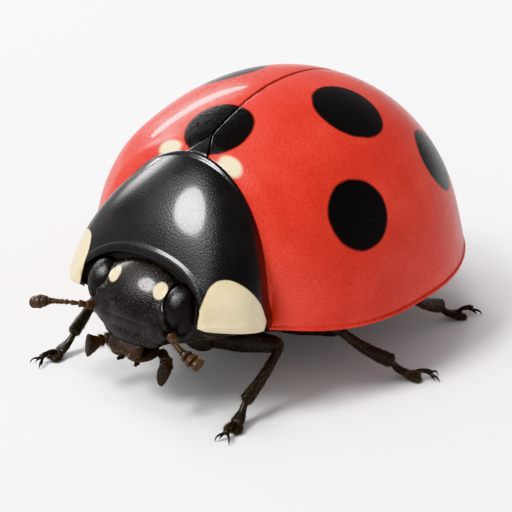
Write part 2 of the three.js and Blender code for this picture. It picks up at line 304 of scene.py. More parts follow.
def tube(middle, wide, thick, sides=32, up=UP, squareness=1.0):
    """A grid round a middle line: at each point an oval, `wide` to the sides and `thick` towards `up`."""
    ahead = unit(np.gradient(middle, axis=0))
    across = unit(np.cross(ahead, up))
    over = np.cross(across, ahead)
    turn = np.linspace(0, 2 * np.pi, sides, endpoint=False)[None, :, None]
    cos, sin = np.cos(turn), np.sin(turn)
    cos, sin = np.sign(cos) * np.abs(cos) ** squareness, np.sign(sin) * np.abs(sin) ** squareness
    wide, thick = (np.broadcast_to(value, len(middle))[:, None, None] for value in (wide, thick))
    return middle[:, None] + wide * cos * across[:, None] + thick * sin * over[:, None]


def mirrored(points, side):
    """The same points on one side of the body: x times 1 or -1."""
    return points * [side, 1, 1]


# ---------- hairs ----------
HAIR_RINGS = np.array([0.0, 0.35, 0.7])  # shares of a hair's length
HAIR_SIDES = 3
HAIR_PATCH = 0.003  # width of a hair's patch on its piece's map
HAIR_LENGTHS = (0.7, 1.2)  # the shortest and the longest, times the length of their coat
HAIR_BEND = 0.35  # how far its tip bends on, times its length
HAIR_SPREAD = 0.25  # how far hairs stray to the sides
HAIR_TAPER = 0.6
HAIR_FLOOR = 0.002  # no hair reaches below this height


def sow(points, count, keep=None, along=None):
    """Hair roots scattered over a grid closed round its columns: the places, normals, directions in which
    the hairs lie (along the rows, or a given way) and the rows and columns as shares of 1. `keep` is a
    function of those shares and the places."""
    rows, cols = points.shape[:2]
    normal = normals(points)
    ahead = unit(np.gradient(points, axis=0))
    areas = np.linalg.norm(np.cross(np.gradient(points, axis=0), np.roll(points, -1, 1) - points), axis=-1)
    weight = areas[:-1].ravel()
    cell = rng.choice(len(weight), size=count, p=weight / weight.sum())
    row, col = np.divmod(cell, cols)
    u, v = rng.random((2, count, 1))

    def between(grid):
        """A grid's values at the roots."""
        ring = [mix(grid[row + k, col], grid[row + k, (col + 1) % cols], v) for k in (0, 1)]
        return mix(ring[0], ring[1], u)

    place, out, lie = between(points), unit(between(normal)), unit(between(ahead))
    if along is not None:
        lie = unit(np.asarray(along) - out * (out @ np.asarray(along))[:, None])
    share = np.stack([(row + u[:, 0]) / (rows - 1), (col + v[:, 0]) / cols], 1)
    kept = np.ones(count, bool) if keep is None else keep(share, place)
    return place[kept], out[kept], lie[kept], share[kept]


def coat(points, count, length, thick, lean, keep=None, along=None):
    """Curved three-sided spikes on roots sown over a grid, with the roots' shares of its rows and columns:
    each leaves its root between the normal and the lie, by `lean` of the way, and bends on towards the lie
    by the square of the share of its length."""
    place, out, lie, share = sow(points, count, keep, along)
    count = len(place)
    side = unit(np.cross(out, lie))
    stray = rng.normal(0, HAIR_SPREAD, (2, count, 1))
    start = unit(out * (1 - lean) + lie * lean + side * stray[0])
    bend = lie * HAIR_BEND + side * stray[1] * 0.5
    long = (length * rng.uniform(*HAIR_LENGTHS, count))[:, None, None, None]
    s = HAIR_RINGS[None, :, None, None]
    centre = place[:, None, None] + long * (s * start[:, None, None] + s**2 * bend[:, None, None])
    turn = (np.arange(HAIR_SIDES) * 2 * np.pi / HAIR_SIDES)[:, None]
    ring = np.cos(turn) * side[:, None] + np.sin(turn) * unit(np.cross(start, side))[:, None]
    body = centre + thick * (1 - s) ** HAIR_TAPER * ring[:, None]
    tip = place + long[:, 0, 0] * (start + bend)
    verts = np.concatenate([body.reshape(count, -1, 3), tip[:, None]], 1)
    verts[..., 2] = np.maximum(verts[..., 2], HAIR_FLOOR)
    per = verts.shape[1]
    i = np.arange(HAIR_SIDES)
    j = (i + 1) % HAIR_SIDES
    low = np.arange(len(HAIR_RINGS) - 1)[:, None] * HAIR_SIDES
    quads = np.stack([low + i, low + j, low + j + HAIR_SIDES, low + i + HAIR_SIDES], -1).reshape(-1, 4)
    top = (len(HAIR_RINGS) - 1) * HAIR_SIDES
    tris = np.concatenate([np.stack([top + i, top + j, np.full(HAIR_SIDES, per - 1)], 1), [[2, 1, 0]]])
    starts = (np.arange(count) * per)[:, None, None]
    return (verts.reshape(-1, 3), (quads + starts).reshape(-1, 4), (tris + starts).reshape(-1, 3)), share


def hair_piece(name, material, slot, *coats):
    """Several coats of hairs as one piece. On its map each coat's roots fill a strip of their own, and each
    hair is a small square patch at its root's place."""
    roots = np.concatenate([(share + [index, 0]) / [len(coats), 1] for index, (_, share) in enumerate(coats)])
    patch = np.stack(np.meshgrid(np.linspace(-1, 1, HAIR_SIDES), np.linspace(-1, 1, len(HAIR_RINGS))), -1)
    patch = HAIR_PATCH / 2 * np.concatenate([patch.reshape(-1, 2), [[0, 1]]])
    places = np.clip(roots, HAIR_PATCH, 1 - HAIR_PATCH)[:, None] + patch
    return build(name, joined([shape for shape, _ in coats]), material, slot, OFBake=places.reshape(-1, 2))


# ---------- material kit ----------
def add(tree, kind, inputs=None, **settings):
    """A node of a kind with its settings; each input is linked from a socket or set to a value."""
    node = tree.nodes.new("ShaderNode" + kind)
    for key, value in settings.items():
        setattr(node, key, value)
    for key, value in (inputs or {}).items():
        if isinstance(value, bpy.types.NodeSocket):
            tree.links.new(value, node.inputs[key])
        else:
            node.inputs[key].default_value = value
    return node


def calc(tree, operation, *values, clamp=False):
    """The output of a Math node on sockets or numbers."""
    return add(tree, "Math", dict(enumerate(values)), operation=operation, use_clamp=clamp).outputs[0]


def blend(tree, factor, a, b, kind="MIX"):
    """Two colours mixed by a factor."""
    a, b = ((*value, 1.0) if isinstance(value, tuple) else value for value in (a, b))
    return add(tree, "Mix", {0: factor, 6: a, 7: b}, data_type="RGBA", blend_type=kind).outputs[2]


def ramp(tree, value, low, high, start=0.0, end=1.0):
    """A value taken from low..high to start..end on an S curve."""
    inputs = {0: value, 1: low, 2: high, 3: start, 4: end}
    return add(tree, "MapRange", inputs, interpolation_type="SMOOTHSTEP").outputs[0]


def group(name, inputs, outputs, fill):
    """A shader node group. Inputs are name: (kind, value), outputs are name: kind, and `fill` builds it."""
    tree = bpy.data.node_groups.new(name, "ShaderNodeTree")
    for key, (kind, value) in inputs.items():
        socket = tree.interface.new_socket(key, in_out="INPUT", socket_type="NodeSocket" + kind)
        socket.default_value = value
    for key, kind in outputs.items():
        tree.interface.new_socket(key, in_out="OUTPUT", socket_type="NodeSocket" + kind)
    given = tree.nodes.new("NodeGroupInput").outputs
    result = fill(tree, given)
    out = tree.nodes.new("NodeGroupOutput")
    for key, socket in result.items():
        tree.links.new(socket, out.inputs[key])
    return tree


def use(tree, node_group, **inputs):
    """A group placed in a material; its inputs are given by name with _ for a space."""
    node = tree.nodes.new("ShaderNodeGroup")
    node.node_tree = node_group
    for key, value in inputs.items():
        socket = node.inputs[key.replace("_", " ")]
        if isinstance(value, bpy.types.NodeSocket):
            tree.links.new(value, socket)
        else:
            socket.default_value = value
    return node.outputs


def fill_spot(tree, given):
    """A round mark: 1 within its radius of a centre, 0 outside, on a place that noise shifts a little."""
    noise = add(tree, "TexNoise", {"Vector": given["Place"], "Scale": 1300.0, "Detail": 3.0})
    shift = add(tree, "VectorMath", {0: noise.outputs["Color"], 1: (0.5, 0.5, 0.5)}, operation="SUBTRACT")
    shift = add(tree, "VectorMath", {0: shift.outputs[0], "Scale": given["Wobble"]}, operation="SCALE")
    moved = add(tree, "VectorMath", {0: given["Place"], 1: shift.outputs[0]}, operation="ADD")
    gap = add(tree, "VectorMath", {0: moved.outputs[0], 1: given["Centre"]}, operation="SUBTRACT")
    gap = add(tree, "VectorMath", {0: gap.outputs[0], 1: given["Shape"]}, operation="MULTIPLY")
    distance = add(tree, "VectorMath", {0: gap.outputs[0]}, operation="LENGTH").outputs["Value"]
    inner = calc(tree, "SUBTRACT", given["Radius"], given["Edge"])
    outer = calc(tree, "ADD", given["Radius"], given["Edge"])
    return {"Mask": ramp(tree, distance, inner, outer, 1.0, 0.0)}


def fill_pits(tree, given):
    """Small round pits scattered over a map at a spacing: 0 at the middle of each, 1 between them."""
    scale = calc(tree, "DIVIDE", 1.0, given["Spacing"])
    cells = add(tree, "TexVoronoi", {"Vector": given["Place"], "Scale": scale, "Randomness": 0.8},
                voronoi_dimensions="2D")
    return {"Height": ramp(tree, cells.outputs["Distance"], 0.0, given["Share"])}


def fill_grain(tree, given):
    """Fine uneven grain through a solid at a spacing, from 0 to 1."""
    scale = calc(tree, "DIVIDE", 1.0, given["Spacing"])
    noise = add(tree, "TexNoise", {"Vector": given["Place"], "Scale": scale, "Detail": 2.0})
    return {"Height": ramp(tree, noise.outputs["Fac"], 0.35, 0.65)}


def fill_mottle(tree, given):
    """Soft cloudy unevenness from 0 to 1 at a size."""
    scale = calc(tree, "DIVIDE", 1.0, given["Size"])
    inputs = {"Vector": given["Place"], "Scale": scale, "Detail": 4.0, "Roughness": 0.55}
    return {"Value": ramp(tree, add(tree, "TexNoise", inputs).outputs["Fac"], 0.3, 0.7)}


SPOT = group("round_spot", {
    "Place": ("Vector", (0, 0, 0)), "Centre": ("Vector", (0, 0, 0)), "Shape": ("Vector", (1, 1, 1)),
    "Radius": ("Float", 0.0005), "Edge": ("Float", 0.00003), "Wobble": ("Float", 0.0001),
}, {"Mask": "Float"}, fill_spot)
PITS = group("fine_pits", {
    "Place": ("Vector", (0, 0, 0)), "Spacing": ("Float", 0.1), "Share": ("Float", 0.4),
}, {"Height": "Float"}, fill_pits)
GRAIN = group("fine_grain", {
    "Place": ("Vector", (0, 0, 0)), "Spacing": ("Float", 0.0001),
}, {"Height": "Float"}, fill_grain)
MOTTLE = group("mottle", {
    "Place": ("Vector", (0, 0, 0)), "Size": ("Float", 0.001),
}, {"Value": "Float"}, fill_mottle)


class Finish:
    """A material with a Principled shader, the places that its patterns are laid on, and its patterns."""

    def __init__(self, name, **values):
        self.material = bpy.data.materials.new(name)
        self.material.use_nodes = True
        self.tree = self.material.node_tree
        self.shader = self.tree.nodes["Principled BSDF"]
        self.place = add(self.tree, "TexCoord").outputs["Object"]
        self.flat = add(self.tree, "UVMap", uv_map="skin").outputs["UV"]
        for key, value in values.items():
            self.shader.inputs[key.replace("_", " ")].default_value = value

    def link(self, **sockets):
        """Links sockets to the shader's inputs, given by name with _ for a space, and hands on the
        material."""
        for key, socket in sockets.items():
            self.tree.links.new(socket, self.shader.inputs[key.replace("_", " ")])
        return self.material

    def bump(self, height, depth, normal=None):
        """A bump of a depth in millimetres from a 0..1 height."""
        inputs = {"Height": height, "Distance": depth * MM}
        if normal is not None:
            inputs["Normal"] = normal
        return add(self.tree, "Bump", inputs).outputs["Normal"]

    def mottle(self, size):
        """Clouds of a size in millimetres, from 0 to 1."""
        return use(self.tree, MOTTLE, Place=self.place, Size=size * MM)["Value"]

    def grain(self, spacing):
        """Fine grain at a spacing in millimetres, from 0 to 1."""
        return use(self.tree, GRAIN, Place=self.place, Spacing=spacing * MM)["Height"]

    def pits(self, spacing, share):
        """Pits at a spacing in millimetres, each a share of it wide, laid on the piece's own map."""
        return use(self.tree, PITS, Place=self.flat, Spacing=spacing, Share=share)["Height"]

    def scaled(self, value, gain, start):
        """A value times a gain, plus a start."""
        return calc(self.tree, "ADD", calc(self.tree, "MULTIPLY", value, gain), start)

    def spot(self, x, station, z, radius, edge=0.03, wobble=0.1, shape=(1, 1, 1)):
        """A mark round a place in millimetres, squeezed by a shape, with a soft edge that wanders by a
        wobble."""
        centre = tuple(to_frame([x, station, z]))
        return use(self.tree, SPOT, Place=self.place, Centre=centre, Shape=shape, Radius=radius * MM,
                   Edge=edge * MM, Wobble=wobble * MM)["Mask"]

    def spot_each_side(self, x, station, z, radius, **kind):
        """A mark and its mirror image on the other side."""
        return self.larger(*[self.spot(side * x, station, z, radius, **kind) for side in SIDES.values()])

    def beyond(self, way, start, edge=0.02):
        """1 past a slanting plane: where the dot of a way and the place (|x|, station, z) is over `start`."""
        x, y, z = add(self.tree, "SeparateXYZ", {0: self.place}).outputs
        folded = add(self.tree, "CombineXYZ", {0: calc(self.tree, "ABSOLUTE", x), 1: y, 2: z}).outputs[0]
        reach = add(self.tree, "VectorMath", {0: folded, 1: way}, operation="DOT_PRODUCT").outputs["Value"]
        start = (start - way[1] * ORIGIN_STATION) * MM
        return ramp(self.tree, reach, start - edge * MM, start + edge * MM)

    def rounded(self, mask, cut):
        """A soft-edged mask less a soft-edged cut, sharpened so that their corners come out round."""
        left = calc(self.tree, "MULTIPLY", mask, calc(self.tree, "SUBTRACT", 1.0, cut))
        return ramp(self.tree, left, 0.4, 0.52)

    def larger(self, *masks):
        """The largest of several masks."""
        result = masks[0]
        for mask in masks[1:]:
            result = calc(self.tree, "MAXIMUM", result, mask)
        return result


# ---------- finishes ----------
RED_DEEP = (0.66, 0.056, 0.038)
RED_BRIGHT = (0.77, 0.085, 0.058)
SHELL_BLACK = (0.010, 0.009, 0.009)
CREAM = (0.80, 0.70, 0.50)
CREAM_DEEP = (0.70, 0.58, 0.38)
# painted shade: darker red for the inside of the wing cases' pits, where shade would fall
PIT_SHADE_RED = (0.40, 0.012, 0.006)
# the seam's dark line: partly the joint's own dark edge, partly painted shade in the groove between the wing
# cases
SEAM_JOINT_AND_SHADE_RED = (0.16, 0.008, 0.004)
SHELL_BLACK_WORN = (0.018, 0.016, 0.016)
HEAD_BLACK_WORN = (0.022, 0.018, 0.016)
CHEST_BLACK = (0.012, 0.011, 0.010)
CHEST_BLACK_WORN = (0.022, 0.019, 0.017)
# spots of one wing case, the one that both share, and the cream mark by the scutellum: x, station, radius
SPOTS = {"shared": (0.0, 2.74, 0.63), "side": (2.5, 3.42, 0.63), "middle": (1.3, 4.72, 0.68),
         "rear": (2.2, 6.12, 0.61)}
BASE_MARK = (0.66, 2.22, 0.17)
# cream marks on other plates: x, station, z, radius; the head's is in its own sideways, up, out
CORNER_MARK = (1.78, 0.84, 1.9, 0.56)
CHEST_MARK = (2.05, 2.5, 1.12, 0.42)
BROW_MARK = (0.5, 0.2, 0.45, 0.13)


def wing_case_finish(name, side):
    """Glossy red in two shades, with painted shade in the pits and a dark line along the seam that is partly
    the joint's own dark edge and partly painted shade in its groove, with the spots and a cream mark at the
    base, over a faintly wavy surface."""
    finish = Finish(f"wing_case_red_{name}", Specular_IOR_Level=0.25, Coat_Weight=0.55, Coat_Roughness=0.05,
                    Coat_IOR=1.45)
    tree = finish.tree

    def on_skin(x, station, radius, **kind):
        """A mark at the height of the wing cases' skin."""
        return finish.spot(side * x, station, float(dome_height(x, station)), radius, **kind)

    patchy, fine = finish.mottle(1.2), finish.mottle(0.12)
    pits = finish.pits(0.07, 0.40)
    # painted shade in the pits: the red darkens where the pits' height is low
    shade_in_pits = calc(tree, "MULTIPLY", calc(tree, "SUBTRACT", 1.0, pits), 0.3)
    # dark line along the seam, partly the joint's own edge and partly painted shade in its groove
    seam_joint_and_shade = calc(tree, "SUBTRACT", 1.0, finish.beyond((1.0, 0.0, 0.0), 0.035, 0.03))
    color = blend(tree, shade_in_pits, blend(tree, patchy, RED_DEEP, RED_BRIGHT), PIT_SHADE_RED)
    color = blend(tree, calc(tree, "MULTIPLY", seam_joint_and_shade, 0.75), color, SEAM_JOINT_AND_SHADE_RED)
    color = blend(tree, on_skin(*BASE_MARK, edge=0.04, shape=(0.7, 1.25, 0.6)), color, CREAM)
    color = blend(tree, finish.larger(*[on_skin(*spot) for spot in SPOTS.values()]), color, SHELL_BLACK)
    normal = finish.bump(pits, 0.0020, finish.bump(patchy, 0.004))
    return finish.link(Base_Color=color, Roughness=finish.scaled(fine, 0.12, 0.24), Normal=normal)


def pronotum_finish():
    """Glossy pitted black, with a cream front corner at each side that is cut off by a slanting line."""
    finish = Finish("pronotum_black", Coat_Weight=0.7, Coat_Roughness=0.1)
    tree = finish.tree
    pits, patchy = finish.pits(0.05, 0.40), finish.mottle(0.8)
    black = blend(tree, patchy, SHELL_BLACK, SHELL_BLACK_WORN)
    cream = blend(tree, patchy, CREAM_DEEP, CREAM)
    corners = finish.spot_each_side(*CORNER_MARK, edge=0.2, wobble=0.2, shape=(1.0, 0.85, 0.72))
    corners = finish.rounded(corners, finish.beyond((0.0, 0.8, 0.6), 2.42, 0.2))
    return finish.link(Base_Color=blend(tree, corners, black, cream),
                       Roughness=finish.scaled(patchy, 0.1, 0.3), Normal=finish.bump(pits, 0.0012))


def plain_finish(name, color, deep, roughness, grain=0.05, depth=0.003, coat=0.3):
    """A mottled horn: two colours in clouds, fine grain, and roughness that follows the clouds."""
    finish = Finish(name, Coat_Weight=coat, Coat_Roughness=0.18)
    patchy = finish.mottle(0.4)
    return finish.link(Base_Color=blend(finish.tree, patchy, deep, color),
                       Roughness=finish.scaled(patchy, 0.15, roughness),
                       Normal=finish.bump(finish.grain(grain), depth))


def head_finish():
    """Pitted black with a small cream mark beside each eye."""
    finish = Finish("head_black", Coat_Weight=0.6, Coat_Roughness=0.12)
    tree = finish.tree
    patchy, pits = finish.mottle(0.5), finish.pits(0.05, 0.42)
    black = blend(tree, patchy, SHELL_BLACK, HEAD_BLACK_WORN)
    cream = blend(tree, patchy, CREAM_DEEP, CREAM)
    *place, radius = BROW_MARK
    pale = finish.spot_each_side(*head_point(*place), radius, edge=0.02, wobble=0.06, shape=(1.1, 0.85, 0.85))
    return finish.link(Base_Color=blend(tree, pale, black, cream), Roughness=finish.scaled(patchy, 0.1, 0.32),
                       Normal=finish.bump(pits, 0.0026))


# ---------- the pronotum's outline ----------
def shield_half(row):
    """Half the width of the pronotum at a row: 0 is its front edge and 1 its rear one."""
    return PRONOTUM_WIDTH / 2 * (1 - ((row - PRONOTUM["widest_row"]) / PRONOTUM["rows_to_close"]) ** 2)


def shield_front(across):
    """Station of its front edge, which reaches forwards to the sides; across runs from -1 to 1."""
    return PRONOTUM["front"] - PRONOTUM["front_bow"] * across**4


def shield_rear(across):
    """Station of its rear edge, which bows forwards to the sides."""
    return PRONOTUM["rear"] - PRONOTUM["rear_bow"] * across**2 - PRONOTUM["corner_bow"] * across**6


def shield(row, across, inset=0.0):
    """The pronotum's skin: an arch over each row, from side to top to side. Its top dips below the curve of
    the back by the square of the share of the way to its front edge."""
    side = mix(PRONOTUM["side_front"], PRONOTUM["side_rear"], row)
    back = crest(mix(PRONOTUM["front"], PRONOTUM["rear"], row))
    top = back - PRONOTUM["front_dip"] * (1 - row) ** 2 - inset
    height = side + (top - side) * np.sqrt(np.maximum(1 - across**2, 0))
    station = mix(shield_front(across), shield_rear(across), row)
    return np.stack([(shield_half(row) - inset) * across, station, height], -1)


def beside_shield(x, station):
    """How far places are behind the pronotum's rear edge, and how high its skin is over them, for x above 0.
    The row over a place is found in three passes."""
    row = np.ones_like(x)
    for _ in range(3):
        across = np.clip(x / shield_half(row), 0, 1)
        row = np.minimum((station - shield_front(across)) / (shield_rear(across) - shield_front(across)), 1)
    past = station - shield_rear(np.clip(x / shield_half(1.0), 0, 1))
    return past, shield(row, across)[..., 2]


def chest_finish():
    """The middle chest's black with a pale patch at each side, behind the pronotum's rear corner."""
    finish = Finish("chest_black", Coat_Weight=0.3, Coat_Roughness=0.18)
    tree = finish.tree
    patchy = finish.mottle(0.4)
    pale = finish.spot_each_side(*CHEST_MARK, edge=0.15, wobble=0.2, shape=(0.9, 1.0, 0.7))
    pale = finish.rounded(pale, finish.beyond((0.13, 1.0, 0.0), 2.92, 0.12))
    color = blend(tree, pale, blend(tree, patchy, CHEST_BLACK, CHEST_BLACK_WORN), CREAM)
    return finish.link(Base_Color=color, Roughness=finish.scaled(patchy, 0.15, 0.4),
                       Normal=finish.bump(finish.grain(0.09), 0.003))


# ---------- wing cases ----------
# the strip tucked under the pronotum, half the gap at the seam, how far under the pronotum's skin the wing
# cases start, and how far behind it they have swelled to their full height
WING_BASE = {"tuck": 0.16, "seam": 0.005, "under": 0.05, "swell": 0.3}
# the rim's outward lip, the gutter inside it, the radius of its bead, the groove along the seam, the
# swelling of the shoulder, and the width of the flat band under the rim at the tail and at the middle
WING_EDGE = {"lip": 0.055, "gutter": 0.012, "bead": 0.034, "groove": 0.02, "shoulder": 0.05,
             "band": (0.26, 0.44)}
TAIL_GAP = 0.0002  # from the last row of a wing case to the point where its width would be nothing


def wing_base(across):
    """Station where a wing case comes out from under the pronotum's rear edge, found by halved steps."""
    station = shield_rear(across)
    for _ in range(8):
        share = np.clip(half_width(station) * across / shield_half(1.0), 0, 1)
        station = mix(station, shield_rear(share), 0.5)
    return station


def scutellum_half(station):
    """Half the width of the small triangle at a station."""
    share = (station - SCUTELLUM["base"]) / (SCUTELLUM["tip"] - SCUTELLUM["base"])
    return SCUTELLUM["half_width"] * np.clip(1 - share, 0, 1)


def wing_skin(inset, across, run):
    """Half of the dome, from the seam at across = 0 to the rim at 1, and from the base at run = 0 to the
    tail at 1. The seam's edge steps out round the scutellum. The strip at run = -1 to 0 is tucked under the
    pronotum, and behind the pronotum's rear edge the skin swells up from it as a quarter circle."""
    base = wing_base(across)
    tuck = WING_BASE["tuck"] * (1 - across**6) + 0.01
    station = base + np.where(run < 0, tuck, BODY_LENGTH - TAIL_GAP - inset - base) * run
    wide = half_width(station, inset)
    seam = np.minimum(WING_BASE["seam"] + scutellum_half(station), 0.4 * wide)
    x = seam + (wide - seam) * across
    z = dome_height(x, station, inset)
    past, cover = beside_shield(x, station)
    low = np.minimum(z, cover - WING_BASE["under"] + 0.5 * np.minimum(past, 0) - inset)
    swell = quarter(1 - np.clip(past / WING_BASE["swell"], 0, 1))
    return np.stack([x, station, mix(low, z, swell)], -1)


def wing_case(side):
    """The ring across a wing case at each row: the outer skin from the seam to the rim, a bead, the flat band
    under it, and the inner wall back to the seam."""
    turn = np.radians(spans((0.3, 2), (1.5, 5), (4, 5), (70, 70), (90, 26)))
    run = np.sin(spans((0.004, 5), (0.05, 18), (1.0, 155)) * np.pi / 2)
    run = np.concatenate([[-1, -0.6, -0.25], run])[:, None]
    across = np.sin(turn)[None]
    outer = wing_skin(0.0, across, run)
    edge = outer[:, -1]
    ahead = unit(np.gradient(edge[:, :2], axis=0))
    out = np.stack([ahead[:, 1], -ahead[:, 0], np.zeros(len(ahead))], 1)[:, None]
    fade = smooth(-0.05, 0.25, np.linalg.norm(edge - edge[-1], axis=1))[:, None, None]
    near_rim = smooth(math.radians(70), math.radians(90), turn)[None, :, None]
    gutter = bell(turn, math.radians(83), math.radians(3))[None, :, None]
    outer += (out * WING_EDGE["lip"] * near_rim**2 - UP * WING_EDGE["gutter"] * gutter) * fade
    from_seam = outer[..., 0] - outer[:, :1, 0]
    station = outer[..., 1]
    groove = WING_EDGE["groove"] * (1 - smooth(0.0, 0.03, from_seam))
    outer[..., 2] -= groove + 0.006 * bell(from_seam, 0.0, 0.12)
    shoulder = np.exp(-(((outer[..., 0] - 1.95) / 0.4) ** 2) - ((station - 2.75) / 0.5) ** 2)
    outer += unit(outer - [0, 4.5, 1.5]) * WING_EDGE["shoulder"] * shoulder[..., None]
    arc = np.radians(np.linspace(15, 180, 10))[None, :, None]
    round_edge = np.sin(arc) * out + (np.cos(arc) - 1) * UP
    bead = outer[:, -1:] + WING_EDGE["bead"] * (0.3 + 0.7 * fade) * round_edge
    share = np.linspace(0.08, 1, 14)[None, :, None]
    band_width = mix(*WING_EDGE["band"], smooth(7.6, 4.0, edge[:, 1]))[:, None, None]
    band = bead[:, -1:] - share * band_width * out * fade + UP * 0.05 * smooth(0.0, 1.0, share)
    inner_turn = np.linspace(turn[-1], 0, len(turn) - bead.shape[1] - band.shape[1])
    inner = wing_skin(WALL, np.sin(inner_turn)[None], run)
    to_band = smooth(math.radians(50), math.radians(90), inner_turn)[None, :, None]
    inner = mix(inner, band[:, -1:] + UP * 0.03, to_band)
    return mirrored(np.concatenate([outer, bead, band, inner], 1), side)


# ---------- pronotum ----------
SHIELD_EDGE = {"lip": 0.06, "bead": 0.022, "round": 0.03, "band": 0.2}


def pronotum_points():
    """The ring across the pronotum at each row: its skin from edge to edge with a bead along each side, and
    the inner wall, which stands in from the skin by more along the sides, as a flat band under them."""
    side_turns = spans((14, 20))
    turn = np.radians(np.concatenate([-90 + side_turns, np.linspace(-75, 75, 130), 76 + side_turns]))
    row = spans((0.004, 1), (0.03, 6), (0.97, 76), (0.996, 6), (1.0, 1))[:, None]
    across = np.sin(turn)[None]
    outer = shield(row, across)
    near_side = smooth(math.radians(72), math.radians(90), np.abs(turn))[None, :, None]
    outer += np.sign(across)[..., None] * [1, 0, 0] * SHIELD_EDGE["lip"] * near_side**2
    bead = SHIELD_EDGE["bead"] * bell(np.abs(turn), math.radians(86.5), math.radians(2.2))
    outer += (np.sign(across) * bead)[..., None] * [0.5, 0, 0] + bead[None, :, None] * UP
    ends = np.minimum(row, 1 - row)
    rounded = 1 - quarter(1 - ends / 0.03)
    outer[..., 2] -= SHIELD_EDGE["round"] * rounded * np.cos(turn)
    wall = mix(0.03, WALL, smooth(0.0, 0.2, row) * smooth(1.0, 0.85, row))
    back = turn[::-1]
    inner = shield(row, np.sin(back)[None], wall)
    low = smooth(math.radians(60), math.radians(90), np.abs(back))[None, :, None]
    foot = shield(row, np.sign(back)[None], wall + SHIELD_EDGE["band"])
    inner = mix(inner, foot + UP * 0.05 * (1 - rounded[..., None]), low)
    return np.concatenate([outer, inner], 1)


def scutellum_points():
    """The small triangle between the wing cases' bases: rows from its base to its tip, each an arch over a
    lower arch."""
    row = spans((0.03, 3), (0.97, 36), (1.0, 4))[:, None]
    across = np.linspace(-1, 1, 32)[None]
    station = mix(SCUTELLUM["base"] - 0.05, SCUTELLUM["tip"] - 0.015, row) + 0 * across
    half = np.maximum(scutellum_half(station) - 0.003, 0.002)
    edge = 1 - quarter(across, 10, 0.5)
    tucked = 0.05 * (1 - smooth(2.13, 2.2, station))
    top = dome_height(half * across, station) - 0.016 * edge - 0.01 - tucked
    upper = np.stack([half * across, station, top], -1)
    return np.concatenate([upper, upper[:, ::-1] - UP * 0.1], 1)


# ---------- head ----------
HEAD_CENTRE = np.array([0.0, 0.8, 1.78])
HEAD_PITCH = math.radians(35)
FACE = np.array([0.0, -math.cos(HEAD_PITCH), math.sin(HEAD_PITCH)])
CROWN = np.array([0.0, math.sin(HEAD_PITCH), math.cos(HEAD_PITCH)])
EYE_RADII = np.array([0.36, 0.47, 0.4])
EYE_CENTRE = np.array([HEAD_WIDTH / 2 - 0.36, 0.07, 0.074])


def head_point(x, up, out):
    """A place on the head, from its own (sideways, towards the crown, out from the face)."""
    x, up, out = (np.asarray(value)[..., None] for value in (x, up, out))
    return HEAD_CENTRE + x * np.array([1.0, 0, 0]) + up * CROWN + out * FACE


def reach_of(ways, centre, radii):
    """How far along each unit way from the origin a ball of three radii ends, or 0 where it's missed."""
    centre, radii = np.asarray(centre), np.asarray(radii)
    a = ((ways / radii) ** 2).sum(-1)
    b = (ways * centre / radii**2).sum(-1)
    c = ((centre / radii) ** 2).sum() - 1
    inside = b * b - a * c
    return np.where(inside > 0, (b + np.sqrt(np.maximum(inside, 0))) / a, 0.0)


# lumps that make up the head, in the head's own (sideways, up, out): centre and radii
HEAD_LUMPS = (
    ((0, 0, 0), (1.0, 0.8, 0.54)),
    ((0, -0.62, 0.03), (0.54, 0.23, 0.28)),
    ((0.5, -0.3, 0.1), (0.36, 0.32, 0.3)),
    ((-0.5, -0.3, 0.1), (0.36, 0.32, 0.3)),
)
LUMP_POWER = 14


FEELER_SOCKET = np.array([0.76, -0.36, 0.2])
EYE_LOBE = ((0.8, 0.16), (-0.12, 0.085))  # where the lobe is and how wide, sideways and upwards
LIP_GROOVE = (-0.46, 0.03)  # how far up the face, and how wide


def head_local(ways):
    """The head's skin along unit ways from its middle: the reaches of its lumps joined by a high power mean,
    with the orbit raised round each eye, a lobe that cuts into the eye, a pit at the feeler's root and a
    groove over the lip."""
    reaches = np.stack([reach_of(ways, centre, radii) for centre, radii in HEAD_LUMPS])
    reach = (np.maximum(reaches, 1e-3) ** LUMP_POWER).sum(0) ** (1 / LUMP_POWER)
    points = ways * reach[..., None]
    mirror = np.abs(points) * [1, 0, 0] + points * [0, 1, 1]
    past_eye = np.linalg.norm((mirror - EYE_CENTRE) / EYE_RADII, axis=-1) - 1
    lift = 0.035 * bell(past_eye, 0.07, 0.06) - 0.10 * smooth(0.0, -0.14, past_eye)
    aside, up, out = np.moveaxis(mirror, -1, 0)
    lift += 0.16 * bell(aside, *EYE_LOBE[0]) * bell(up, *EYE_LOBE[1])
    socket = np.linalg.norm(mirror - FEELER_SOCKET, axis=-1)
    lift += 0.03 * bell(socket, 0.15, 0.04) - 0.06 * smooth(0.14, 0.02, socket)
    lift -= 0.012 * bell(up, *LIP_GROOVE) * smooth(0.6, 0.35, aside) * (out > 0)
    return points + ways * lift[..., None]


def ball_ways(polar, turn):
    """Ways out from the middle of a ball, at angles from its pole and round it: along the pole, and two
    across."""
    across = np.sin(polar)
    return np.stack([np.cos(polar) + 0 * turn, across * np.cos(turn), across * np.sin(turn)], -1)


def head_rings():
    """The head in its own directions, as rings about the line out of the face, from its middle to the
    nape."""
    polar = np.radians(spans((2, 2), (120, 130), (178, 18)))[:, None]
    turn = np.linspace(0, 2 * np.pi, 260, endpoint=False)[None]
    ways = ball_ways(polar, turn)[..., [1, 2, 0]]
    return head_local(unit(ways * [1.0, 0.85, 0.6]))


FACET_PITCH = 3.3  # degrees from one facet of an eye to the next
FACET_DEPTH = 0.016
EYE_LEAN = math.radians(24)  # of its outward pole towards the front


